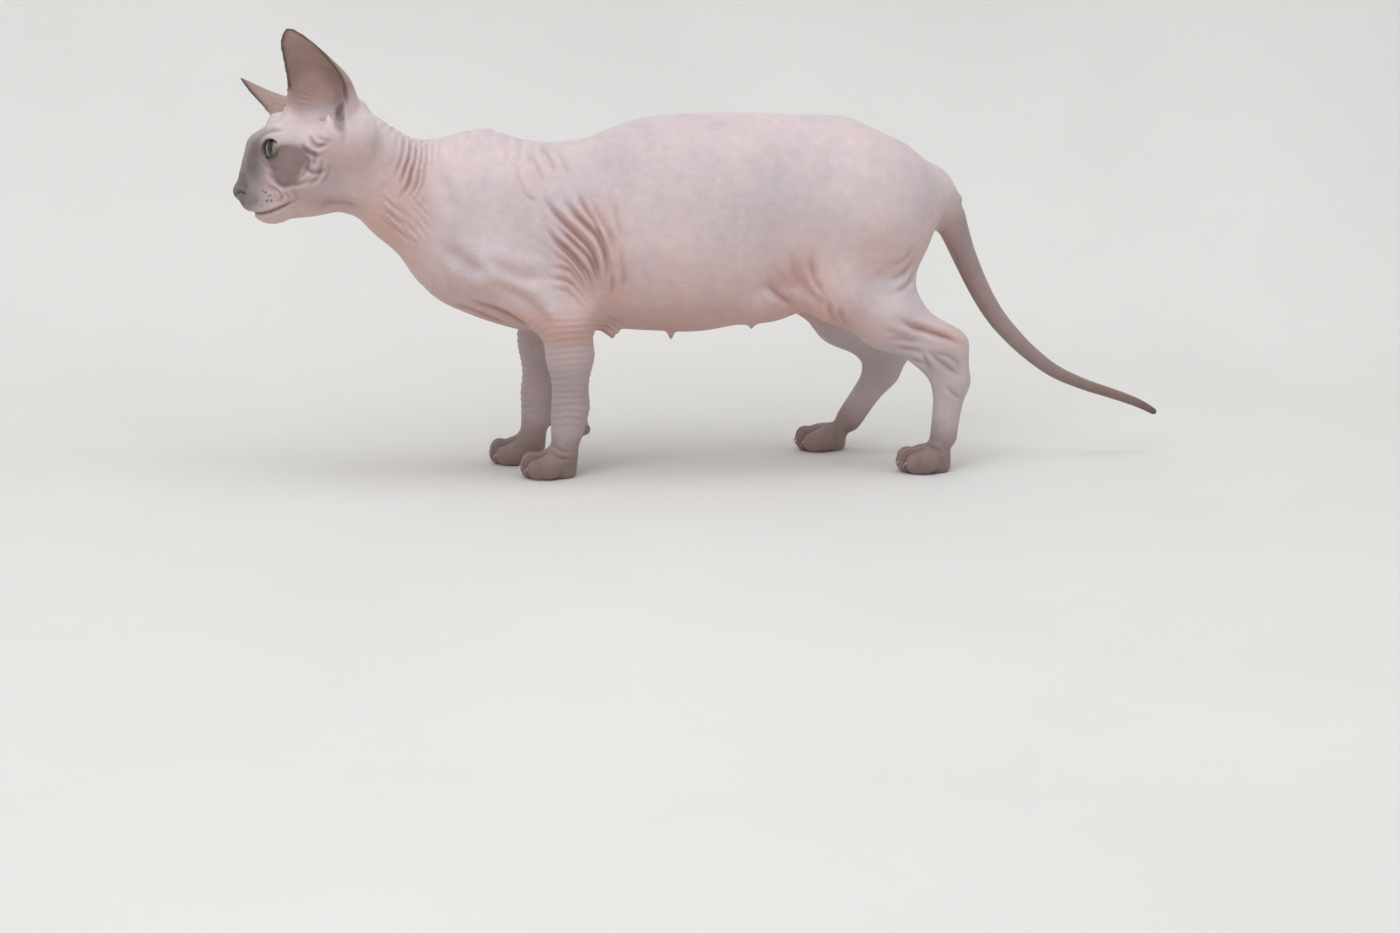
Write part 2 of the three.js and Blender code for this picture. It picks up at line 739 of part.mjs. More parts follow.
// Splits a solid at a plane: [the side that `way` points to, the other side], half the gap off each.
function split(made, at, way) {
  const away = way.map((v) => -v);
  return [
    made.subtract(beyond(at, away, CUT_GAP / 2)),
    made.subtract(beyond(at, way, CUT_GAP / 2)),
  ];
}

// A point on the half-elliptic section of an ear between its margins, u from 0 at the front to 1 at the rear.
function earPoint(ear, u, v, offset) {
  const n = ear.front.length - 1;
  const i = Math.min(Math.floor(v * n), n - 1);
  const t = v * n - i;
  const at = (curve) => [0, 1, 2].map((axis) => through(curve.map((p) => p[axis]), i, t));
  const front = new THREE.Vector3(...at(ear.front));
  const rear = new THREE.Vector3(...at(ear.rear));
  const back = new THREE.Vector3(...at(ear.back));
  const mid = front.clone().add(rear).multiplyScalar(0.5);
  const half = rear.clone().sub(front).multiplyScalar(0.5);
  const deep = back.sub(mid);
  const angle = Math.PI * u;
  const shrink = 1 - offset / Math.max(half.length(), offset + 0.5);
  const sink = 1 - offset / Math.max(deep.length(), offset + 0.5);
  return mid
    .addScaledVector(half, -Math.cos(angle) * shrink)
    .addScaledVector(deep, Math.sin(angle) * sink);
}

// A closed surface through rings of points, capped by a fan at both ends.
function closeRings(rings, sideways) {
  const count = rings[0].length;
  const vertices = rings.flat().flatMap((p) => [p.x, p.y * sideways, p.z]);
  const faces = [];
  const add = (a, b, c) => (sideways > 0 ? faces.push(a, b, c) : faces.push(a, c, b));
  for (let r = 0; r + 1 < rings.length; r += 1) {
    for (let s = 0; s < count; s += 1) {
      const a = r * count + s;
      const b = r * count + ((s + 1) % count);
      add(a, b, b + count);
      add(a, b + count, a + count);
    }
  }
  for (const [ring, turn] of [
    [0, false],
    [rings.length - 1, true],
  ]) {
    const middle = rings[ring].reduce((sum, p) => sum.add(p), new THREE.Vector3()).divideScalar(count);
    vertices.push(middle.x, middle.y * sideways, middle.z);
    const m = vertices.length / 3 - 1;
    for (let s = 0; s < count; s += 1) {
      const a = ring * count + s;
      const b = ring * count + ((s + 1) % count);
      if (turn) add(a, b, m);
      else add(b, a, m);
    }
  }
  const made = solid({ vertices, faces });
  return made.volume() > 0 ? made : solid({ vertices, faces: faces.map((_, q) => faces[q - (q % 3) + [0, 2, 1][q % 3]]) });
}

const EAR_COLUMNS = 9;
const EAR_ROWS = [0, 0.12, 0.24, 0.36, 0.48, 0.6, 0.72, 0.82, 0.9, 0.96, 0.995];

function earShell(ear) {
  const rings = EAR_ROWS.map((v) => {
    const ring = [];
    const thick = EAR_THICKNESS * (1 - 0.25 * v);
    for (let s = 0; s <= EAR_COLUMNS; s += 1) ring.push(earPoint(ear, s / EAR_COLUMNS, v, 0));
    for (let s = EAR_COLUMNS; s >= 0; s -= 1) {
      const u = clamp(s / EAR_COLUMNS, 0.02, 0.98);
      const p = earPoint(ear, u, v, thick);
      ring.push(p);
    }
    return ring;
  });
  return closeRings(rings, ear.side);
}

// What the cup of the ear holds: taken out of the head so that the cup goes down to the ear canal.
function earHollow(ear) {
  const canal = earPoint(ear, 0.7, 0.06, 5);
  const rings = [0.02, 0.12, 0.24, 0.36, 0.5].map((v) => {
    const ring = [];
    const open = clamp(0.35 + v * 1.7, 0, 1);
    for (let s = 0; s <= EAR_COLUMNS; s += 1) {
      const wall = earPoint(ear, clamp(s / EAR_COLUMNS, 0.02, 0.98), v, EAR_THICKNESS);
      ring.push(canal.clone().lerp(wall, open).add(new THREE.Vector3(0, 0, 4 * v)));
    }
    const first = ring[0];
    const last = ring[EAR_COLUMNS];
    const out = new THREE.Vector3(0, 3 + 10 * open, 2);
    ring.push(last.clone().add(out), first.clone().add(out));
    return ring;
  });
  return closeRings(rings, ear.side);
}

// The almond between the lids, as a wedge from the middle of the ball outward.
function eyeOpening(side) {
  const outline = new THREE.Shape();
  const steps = 16;
  for (let s = 0; s < steps; s += 1) {
    const a = (s / steps) * Math.PI * 2;
    const px = Math.cos(a) * EYE.halfLength;
    const py = Math.sign(Math.sin(a)) * Math.pow(Math.abs(Math.sin(a)), 1.2) * EYE.halfHeight;
    if (s === 0) outline.moveTo(px, py);
    else outline.lineTo(px, py);
  }
  outline.closePath();
  const g = new THREE.ExtrudeGeometry(outline, { depth: 20, bevelEnabled: false, steps: 1 });
  const out = new THREE.Vector3(EYE.outward[0], EYE.outward[1] * side, EYE.outward[2]).normalize();
  const along = new THREE.Vector3(-out.y * side, out.x * side, 0).normalize().multiplyScalar(-1);
  const up = new THREE.Vector3().crossVectors(out, along).normalize();
  if (up.z < 0) up.negate();
  const long = along.clone().multiplyScalar(Math.cos(EYE.slant)).addScaledVector(up, Math.sin(EYE.slant));
  const tall = new THREE.Vector3().crossVectors(out, long).normalize();
  g.applyMatrix4(new THREE.Matrix4().makeBasis(long, tall, out));
  g.translate(EYE.at[0], EYE.at[1] * side, EYE.at[2]);
  return solidOf(g);
}

function ball(radius, side, detail) {
  const g = new THREE.IcosahedronGeometry(radius, detail);
  g.translate(EYE.at[0], EYE.at[1] * side, EYE.at[2]);
  return solidOf(g);
}

const parts = new THREE.Group();
function add(name, made, colour, roughness = 0.55) {
  const kept = largest(made);
  const mesh = new THREE.Mesh(
    geometryOf(kept),
    new THREE.MeshStandardMaterial({ color: colour, roughness, metalness: 0 }),
  );
  mesh.name = name;
  parts.add(mesh);
}

const FLOOR = beyond([0, 0, 0], [0, 0, -1]);
const NECK_TOP = { at: [-232, 0, 210], way: [-0.9, 0, 0.42] };
const NECK_ROOT = { at: [-178, 0, 180], way: [-0.94, 0, 0.34] };
const CHEST_END = { at: [-62, 0, 170], way: [-1, 0, 0] };
const LOIN_END = { at: [58, 0, 170], way: [-1, 0, 0] };
const TAIL_CUTS = [
  { at: [182, 0, 171], way: [0.36, 0, -0.93] },
  { at: [216, 0, 105], way: [0.62, 0, -0.78] },
  { at: [262, 0, 63], way: [0.85, 0, -0.5] },
  { at: [306, 0, 45.5], way: [0.94, 0, -0.34] },
];

function makeHead() {
  const weight = (x, y, z) => (x < -280 ? 2.4 : 1.2) * (z < 208 && x < -276 ? 1.3 : 1);
  const raw = sample(body, [-332, -190, -60, 60, 120, 275], 0.9);
  const whole = solid(thin(raw, 3300, weight));
  const hollows = Object.values(EARS).map(earHollow);
  const shells = Object.values(EARS).map(earShell);
  let made = whole.subtract(hollows[0]).subtract(hollows[1]).add(shells[0]).add(shells[1]);
  for (const side of [-1, 1]) {
    made = made.subtract(ball(EYE.radius + CUT_GAP, side, 3)).subtract(eyeOpening(side));
  }
  let [front] = split(neat(made), NECK_TOP.at, NECK_TOP.way);
  const cuts = {
    left: { at: [-264, -36, 261], way: [-0.1, -0.12, 0.98] },
    right: { at: [-282, 38, 254], way: [-0.72, 0.42, 0.55] },
  };
  for (const [name, ear] of Object.entries(EARS)) {
    const { at, way } = cuts[name];
    const region = beyond([0, 6 * ear.side, 0], [0, ear.side, 0]).intersect(beyond(at, way));
    const nearRegion = beyond([0, 5.7 * ear.side, 0], [0, ear.side, 0]).intersect(beyond(at, way, CUT_GAP));
    add(`ear_${name}`, front.intersect(region), COLOURS.ear);
    front = front.subtract(nearRegion);
  }
  add("head", front, COLOURS.face);
  for (const [name, side] of [
    ["left", -1],
    ["right", 1],
  ]) {
    add(`eye_${name}`, ball(EYE.radius, side, 3), COLOURS.eye, 0.1);
  }
}

function makeTrunk() {
  const limbWeight = (x, y, z) => (z < 110 ? 1.6 : 1);
  const raw = sample(body, [-262, 200, -80, 80, 12, 262], 2.1);
  let rest = solid(thin(raw, 4300, limbWeight));
  [, rest] = split(rest, NECK_TOP.at, NECK_TOP.way);
  const tail = beyond(TAIL_CUTS[0].at, TAIL_CUTS[0].way, CUT_GAP / 2)
    .intersect(beyond([170, 0, 0], [1, 0, 0]))
    .intersect(beyond([0, -25, 0], [0, 1, 0]))
    .intersect(beyond([0, 25, 0], [0, -1, 0]));
  rest = rest.subtract(tail);
  const legs = [];
  for (const [name, leg] of Object.entries(FRONT_LEGS)) {
    legs.push({
      names: [`front_upper_leg_${name}`, `front_lower_leg_${name}`],
      side: leg.side,
      inner: 8,
      top: { at: [leg.elbow[0], leg.side * 34, 112], way: [0.25, leg.side * 0.1, -1] },
      bounds: { at: [-30, 0, 0], way: [-1, 0, 0] },
      low: { at: leg.low, way: [0, 0, -1] },
      end: { at: [leg.cannon[0], 0, leg.cannon[2] + 4], way: [0, 0, -1] },
    });
  }
  for (const [name, leg] of Object.entries(HIND_LEGS)) {
    legs.push({
      names: [`thigh_${name}`, `shank_${name}`, `hind_foot_${name}`],
      side: leg.side,
      inner: 4,
      top: { at: [leg.knee[0] + 8, leg.side * 30, leg.knee[2] + 30], way: [0.35, 0, -0.94] },
      bounds: { at: [40, 0, 0], way: [1, 0, 0] },
      mid: { at: [leg.calf[0] - 6, 0, leg.calf[2] + 4], way: [0.86, 0, -0.5] },
      low: { at: [leg.shaft[0], 0, leg.shaft[2] + 4], way: [-0.1, 0, -1] },
      end: { at: [leg.low[0], 0, leg.low[2] + 2], way: [0, 0, -1] },
    });
  }
  for (const leg of legs) {
    const sideWay = [0, leg.side, 0];
    const region = (gap) =>
      beyond([0, leg.inner * leg.side, 0], sideWay, gap)
        .intersect(beyond(leg.top.at, leg.top.way, gap))
        .intersect(beyond(leg.bounds.at, leg.bounds.way, gap));
    let limb = rest.intersect(region(0));
    rest = rest.subtract(region(CUT_GAP));
    [, limb] = split(limb, leg.end.at, leg.end.way);
    if (leg.mid) {
      const shin = (gap) =>
        beyond(leg.mid.at, leg.mid.way, gap).intersect(beyond([0, 0, leg.mid.at[2] + 12], [0, 0, -1], gap));
      const below = limb.intersect(shin(0));
      const thigh = limb.subtract(shin(CUT_GAP));
      add(leg.names[0], thigh, COLOURS.skin);
      const [foot, shank] = split(below, leg.low.at, leg.low.way);
      add(leg.names[1], shank, COLOURS.skin);
      add(leg.names[2], foot, COLOURS.foot);
    } else {
      const [lower, high] = split(limb, leg.low.at, leg.low.way);
      add(leg.names[0], high, COLOURS.skin);
      add(leg.names[1], lower, COLOURS.foot);
    }
  }
  const [neck, trunkRest] = split(rest, NECK_ROOT.at, NECK_ROOT.way);
  const [chest, behind] = split(trunkRest, CHEST_END.at, CHEST_END.way);
  const [belly, rump] = split(behind, LOIN_END.at, LOIN_END.way);
  add("neck", neck, COLOURS.skin);
  add("chest", chest, COLOURS.skin);
  add("belly", belly, COLOURS.skin);
  add("rump", rump, COLOURS.skin);
}

function makePaws() {
  const all = [
    ...Object.entries(FRONT_LEGS).map(([name, leg]) => ["front", name, leg, leg.cannon, 4]),
    ...Object.entries(HIND_LEGS).map(([name, leg]) => ["hind", name, leg, leg.low, 2]),
  ];
  for (const [end, name, leg, joint, lift] of all) {
    const { x, y } = leg.paw;
    const y0 = leg.side * y;
    const raw = sample(body, [x - 30, x + 36, y0 - 21, y0 + 21, -4, 40], 0.9);
    const made = solid(thin(raw, 460)).subtract(FLOOR);
    const [foot] = split(made, [joint[0], 0, joint[2] + lift], [0, 0, -1]);
    add(`${end}_paw_${name}`, foot, COLOURS.foot);
  }
}

function makeTail() {
  const raw = sample(body, [160, 346, -22, 22, 22, 202], 1.3);
  let rest = solid(thin(raw, 480, (x) => (x > 250 ? 1.8 : 1)));
  [rest] = split(rest, TAIL_CUTS[0].at, TAIL_CUTS[0].way);
  for (let i = 1; i <= TAIL_CUTS.length; i += 1) {
    if (i === TAIL_CUTS.length) {
      add(`tail_${i}`, rest, COLOURS.tail);
      break;
    }
    const [beyondCut, piece] = split(rest, TAIL_CUTS[i].at, TAIL_CUTS[i].way);
    add(`tail_${i}`, piece, COLOURS.tail);
    rest = beyondCut;
  }
}

makeHead();
makeTrunk();
makePaws();
makeTail();

// The origin is the middle of the foot of the whole cat's bounding box.
const bounds = new THREE.Box3().setFromObject(parts);
const middle = bounds.getCenter(new THREE.Vector3());
parts.position.set(-middle.x, -middle.y, -bounds.min.z);
const cat = new THREE.Group();
cat.add(parts);

export default cat;
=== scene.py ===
"""A hairless cat standing on a pale studio floor, as a still, life-size model.

The flesh of the cat is one skin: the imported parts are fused, smoothed and then sculpted in code with
the folds of bare skin. Eyes and claws are pieces of their own. All lengths in the sculpting code are
millimetres in the design frame, where the head points to -X, the tail to +X, the cat's left is -Y and
the floor is z = 0.
"""

import logging
import math
from dataclasses import dataclass
from enum import Enum

import bpy
import numpy as np
from mathutils import Matrix, Vector
from mathutils.bvhtree import BVHTree
from mathutils.kdtree import KDTree


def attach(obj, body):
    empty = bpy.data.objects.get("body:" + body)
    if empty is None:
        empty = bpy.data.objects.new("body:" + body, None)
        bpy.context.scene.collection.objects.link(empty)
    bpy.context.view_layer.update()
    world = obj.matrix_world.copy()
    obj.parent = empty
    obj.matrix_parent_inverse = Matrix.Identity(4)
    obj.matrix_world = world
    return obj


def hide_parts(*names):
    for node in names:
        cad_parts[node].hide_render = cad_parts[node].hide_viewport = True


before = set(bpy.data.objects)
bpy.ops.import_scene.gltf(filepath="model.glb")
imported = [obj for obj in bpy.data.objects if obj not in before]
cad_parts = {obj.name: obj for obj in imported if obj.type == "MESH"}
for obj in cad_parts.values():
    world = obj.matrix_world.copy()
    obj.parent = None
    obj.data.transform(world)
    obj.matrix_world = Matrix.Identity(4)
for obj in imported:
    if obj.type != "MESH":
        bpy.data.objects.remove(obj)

log = logging.getLogger("cat")

Point = tuple[float, float, float]
Colour = tuple[float, float, float, float]

MM = 0.001
# The row frame's origin is under the middle of the cat: this moves a design point into it.
SHIFT = np.array([-9.69, -0.05, 0.0])
EYE_CENTRE = (-288.4, 17.0, 229.4)
EYE_RADIUS = 10.4
EYE_OUTWARD = (-0.83, 0.555, 0.03)
EYE_SLANT = 0.5
LID_LENGTH = 9.8
LID_HEIGHT = 6.7
# The lids' edge runs this far outside the eyeball.
LID_GAP = 0.5
# A distance that stands for anything far away.
FAR = 99.0
# How much deeper folds are pressed than they are drawn.
PRESS = 1.35
# Along the tail: x, z and the radius.
TAIL = (
    (170.0, 191.0, 13.4),
    (180.0, 176.0, 11.8),
    (191.0, 151.0, 8.8),
    (203.5, 125.0, 7.7),
    (216.0, 105.0, 7.0),
    (229.0, 90.0, 6.4),
    (244.0, 76.0, 5.7),
    (262.0, 63.0, 5.0),
    (284.0, 53.0, 4.3),
    (306.0, 45.5, 3.9),
    (326.0, 38.0, 3.4),
    (338.5, 31.3, 2.6),
)
# The margins of the ears, front then rear, for each ear.
EAR_MARGINS = (
    ((-282, -31, 272), (-284, -35, 287), (-286, -39, 300), (-284, -41.5, 307.5), (-280, -43, 311)),
    (
        (-243, -46, 256), (-245, -47, 273), (-252, -47, 287.5),
        (-262, -46, 300), (-272, -44.5, 307.3), (-279, -43.5, 311),
    ),
    (
        (-296, 20, 249), (-301, 25, 254.5), (-306, 32, 260),
        (-312, 40, 266.5), (-316.5, 45, 272.5), (-318.4, 48, 275.2),
    ),
    (
        (-254, 44, 233), (-263, 51, 241), (-276, 56, 247.5),
        (-289, 57, 254), (-302, 55, 262.5), (-312.5, 51.5, 271),
    ),
)
# Teats: x, distance from the midline, z and how far each has swollen.
TEATS = ((-66.0, 24.0, 104.5, 0.9), (-24.0, 24.0, 102.5, 0.5), (33.0, 25.0, 109.0, 0.55))


class Side(Enum):
    """The side of the cat that a fold lies on."""

    LEFT = -1
    RIGHT = 1
    BOTH = 0


@dataclass(frozen=True)
class PawPlace:
    """Where a paw stands: its middle, its length ahead and its width."""

    x: float
    y: float
    length: float
    width: float = 14.5


PAWS = (
    PawPlace(-108.0, -27.5, 24.0),
    PawPlace(-127.0, 28.0, 24.0),
    PawPlace(157.0, -44.0, 22.5),
    PawPlace(100.0, 48.0, 21.5),
)
# Small rounded forms fused into the skin, a middle and three radii each: the teats and their nipples, the
# roots of the ears, the notch of the near ear, the warts of the cheeks, the knobs behind the wrists, and
# the outer and middle toes.
SIDES = (-1, 1)
BUMPS = (
    *(((x, y * k, z - 0.6), (8.0 * s, 6.6 * s, 6.4 * s)) for x, y, z, s in TEATS for k in SIDES),
    *(((x, y * k, z - 2.6 - 3.0 * s), (2.2, 2.2, 3.8)) for x, y, z, s in TEATS for k in SIDES),
    *(((-240.5, 26.5 * k, 250.5), (12.0, 10.5, 12.6)) for k in SIDES),
    ((-256.0, -40.0, 251.5), (2.6, 2.6, 4.4)),
    ((-250.5, -42.0, 246.5), (3.6, 2.2, 2.2)),
    *(((-269.8, 30.6 * k, 203.0), (2.3, 2.3, 2.3)) for k in SIDES),
    ((-84.6, -28.5, 33.6), (3.6, 3.4, 4.4)),
    ((-105.0, 30.0, 30.5), (3.6, 3.4, 4.4)),
    *(((paw.x - paw.length * 0.16, paw.y + 11.6 * k, 8.6), (9.2, 6.2, 8.5)) for paw in PAWS for k in SIDES),
    *(((paw.x - paw.length * 0.62, paw.y + 3.7 * k, 11.0), (7.6, 4.4, 7.2)) for paw in PAWS for k in SIDES),
)


def smooth(low: float, high: float, value: np.ndarray) -> np.ndarray:
    """Smooth step from 0 at low to 1 at high.

    Args:
        low: where the step begins.
        high: where it ends.
        value: the numbers to map.

    Returns:
        Numbers from 0 to 1.
    """
    t = np.clip((value - low) / (high - low), 0.0, 1.0)
    return t * t * (3.0 - 2.0 * t)


def band(low: float, high: float, soft: float, value: np.ndarray) -> np.ndarray:
    """1 between low and high, easing to 0 over soft on both sides.

    Args:
        low: start of the band.
        high: end of the band.
        soft: width of each edge, inside the band.
        value: the numbers to map.

    Returns:
        Numbers from 0 to 1.
    """
    return smooth(low, low + soft, value) * (1.0 - smooth(high - soft, high, value))


def spline(knots: np.ndarray, steps: int = 0) -> np.ndarray:
    """A smooth line through some knots.

    Args:
        knots: one row for each knot.
        steps: samples from knot to knot, or 0 for about one every millimetre.

    Returns:
        Rows like the knots, up to the last of them.
    """
    full = np.vstack([2 * knots[0] - knots[1], knots, 2 * knots[-1] - knots[-2]])
    rows = []
    for a, b, c, d in zip(full, full[1:], full[2:], full[3:]):
        for t in np.linspace(0.0, 1.0, steps or max(2, int(np.linalg.norm(c - b))), endpoint=False):
            bend = (2 * a - 5 * b + 4 * c - d) * t**2 + (3 * b - a - 3 * c + d) * t**3
            rows.append(0.5 * (2 * b + (c - a) * t + bend))
    return np.array([*rows, knots[-1]])


def wander(points: np.ndarray, size: float, seed: int) -> np.ndarray:
    """Smooth pseudo-random noise made of a few waves in fixed random directions.

    Args:
        points: rows of x, y, z in millimetres.
        size: rough size of a blob in millimetres.
        seed: picks the waves.

    Returns:
        Noise from about -1 to 1.
    """
    rng = np.random.default_rng(seed)
    total = np.zeros(len(points))
    waves = 7
    for _ in range(waves):
        way = rng.normal(size=3)
        way *= rng.uniform(0.6, 1.5) / (np.linalg.norm(way) * size) * math.pi
        total += np.sin(points @ way + rng.uniform(0.0, 6.28))
    return total * 2 / waves


@dataclass(frozen=True)
class Surface:
    """Points and normals of the skin, in the design frame."""

    points: np.ndarray
    normals: np.ndarray

    @property
    def x(self) -> np.ndarray:
        """Distance along the cat, from the nose's side to the tail's."""
        return self.points[:, 0]

    @property
    def y(self) -> np.ndarray:
        """Distance to the cat's right."""
        return self.points[:, 1]

    @property
    def z(self) -> np.ndarray:
        """Height above the floor."""
        return self.points[:, 2]

    def facing(self, side: Side) -> np.ndarray:
        """How much the skin faces out on a side of the cat.

        Args:
            side: left, right or both.

        Returns:
            0 to 1 for each point.
        """
        if side is Side.BOTH:
            out = self.normals[:, 1] * np.sign(self.y)
            return smooth(0.05, 0.4, out)
        return smooth(0.05, 0.4, self.normals[:, 1] * side.value) * (self.y * side.value > 0)


def profile(distance: np.ndarray, width: float) -> np.ndarray:
    """The cross-section of a fold: a narrow valley with a low rounded ridge on each side.

    Args:
        distance: distance from the valley's line.
        width: half width of the valley.

    Returns:
        -1 in the valley, up to about 0.35 on the ridges.
    """
    valley = np.exp(-((distance / width) ** 2))
    ridge = np.exp(-(((distance - 2.1 * width) / (1.2 * width)) ** 2))
    return 0.42 * ridge - valley


@dataclass(frozen=True)
class Stroke:
    """One fold drawn on the side of the cat through a few points of its side view."""

    way: tuple[tuple[float, float], ...]
    depth: float = 1.0
    width: float = 1.5
    side: Side = Side.BOTH

    def press(self, skin: Surface) -> tuple[np.ndarray, np.ndarray]:
        """How far the fold moves each point along its normal, and how much painted shade darkens its valley.

        Args:
            skin: the points.

        Returns:
            Millimetres, and 0 to 1, for each point.
        """
        out = np.zeros(len(skin.points))
        valley_shade = np.zeros(len(skin.points))
        line = spline(np.array(self.way))
        reach = 4.5 * self.width
        flat = skin.points[:, (0, 2)]
        face = skin.facing(self.side)
        near = np.all((flat > line.min(0) - reach) & (flat < line.max(0) + reach), axis=1) & (face > 0)
        picked = np.nonzero(near)[0]
        if len(picked) == 0:
            return out, valley_shade
        gaps = np.linalg.norm(flat[picked][:, None, :] - line[None, :, :], axis=2)
        nearest = gaps.argmin(axis=1)
        gap = gaps[np.arange(len(picked)), nearest]
        along = nearest / max(1, len(line) - 1)
        ends = smooth(-0.06, 0.34, along) * (1 - smooth(0.66, 1.06, along))
        uneven = 1.0 + 0.22 * wander(skin.points[picked], 11.0, 21)
        shown = ends * face[picked]
        out[picked] = PRESS * self.depth * profile(gap, self.width) * shown * uneven
        narrow = 1.0 if self.width < 3.0 else 0.12
        # Painted shade along the valley, strong for narrow folds and faint for wide ones.
        valley_shade[picked] = narrow * min(self.depth, 1.6) * np.exp(-((gap / (0.62 * self.width)) ** 2)) * shown
        return out, valley_shade


def strokes(side: Side, *rows: tuple[float, ...]) -> tuple[Stroke, ...]:
    """Strokes from rows of numbers.

    Args:
        side: the side of the cat they all lie on.
        rows: the depth, the width, then x and z of each point.

    Returns:
        The strokes.
    """
    return tuple(Stroke(tuple(zip(row[2::2], row[3::2])), row[0], row[1], side) for row in rows)


# Each row holds the depth and width of a fold, then x and z of its points.
HEAD_STROKES = strokes(
    Side.BOTH,
    (1.5, 1.5, -275.4, 234.3, -272.6, 230.3, -267.4, 227.4, -260.7, 224.9),
    (1.4, 1.4, -269.4, 241.0, -267.6, 235.7, -264.3, 232.2, -254.5, 234.6),
    (0.8, 1.2, -265.0, 239.6, -260.3, 236.6, -253.5, 235.6),
    (1.4, 1.5, -272.5, 219.1, -268.8, 215.1, -262.9, 214.6, -258.0, 217.0),
    (1.0, 1.3, -266.4, 228.8, -265.5, 223.9, -266.7, 219.0),
    (0.9, 1.3, -272.0, 227.0, -270.0, 222.0, -272.0, 215.0, -277.0, 209.5),
    (1.0, 1.4, -260.7, 223.9, -261.9, 217.0, -265.0, 210.2, -271.0, 206.3),
    (0.6, 1.4, -255.5, 222.0, -257.0, 214.0, -261.0, 206.5),
    (1.7, 1.5, -297.7, 213.6, -293.5, 208.7, -287.8, 205.1, -282.0, 206.1),
    (0.9, 1.3, -282.8, 206.2, -275.0, 207.1, -271.0, 210.0),
    (1.1, 1.4, -298.0, 204.5, -291.3, 201.9, -289.2, 196.8, -291.6, 191.5),
    (0.7, 1.2, -288.0, 203.0, -284.5, 198.5, -284.0, 194.0),
    (0.5, 1.1, -282.0, 203.0, -279.0, 199.0, -277.5, 195.0),
    (1.1, 1.4, -303.5, 233.0, -300.4, 238.4, -294.6, 241.4, -286.0, 242.6),
    (0.5, 1.3, -307.0, 236.0, -303.0, 243.5, -296.0, 248.0),
    (0.7, 1.3, -302.5, 226.0, -300.0, 220.0, -294.5, 216.5, -288.0, 216.0),
    (1.1, 2.6, -265.9, 191.5, -256.0, 193.4, -247.1, 193.3, -236.4, 189.2),
    (0.7, 2.2, -250.5, 246.0, -246.5, 240.0, -247.5, 232.0),
)
NOSTRIL = Stroke(((-320.0, 198.6), (-317.3, 200.4), (-314.6, 199.6), (-313.6, 197.6)), 1.5, 0.95)
MOUTH = Stroke(
    (
        (-318.5, 189.6), (-313.0, 186.4), (-305.3, 185.7), (-298.6, 186.8), (-291.7, 189.1), (-285.7,
        192.5), (-277.6, 196.4),
    ),
    1.7,
    1.15,
)
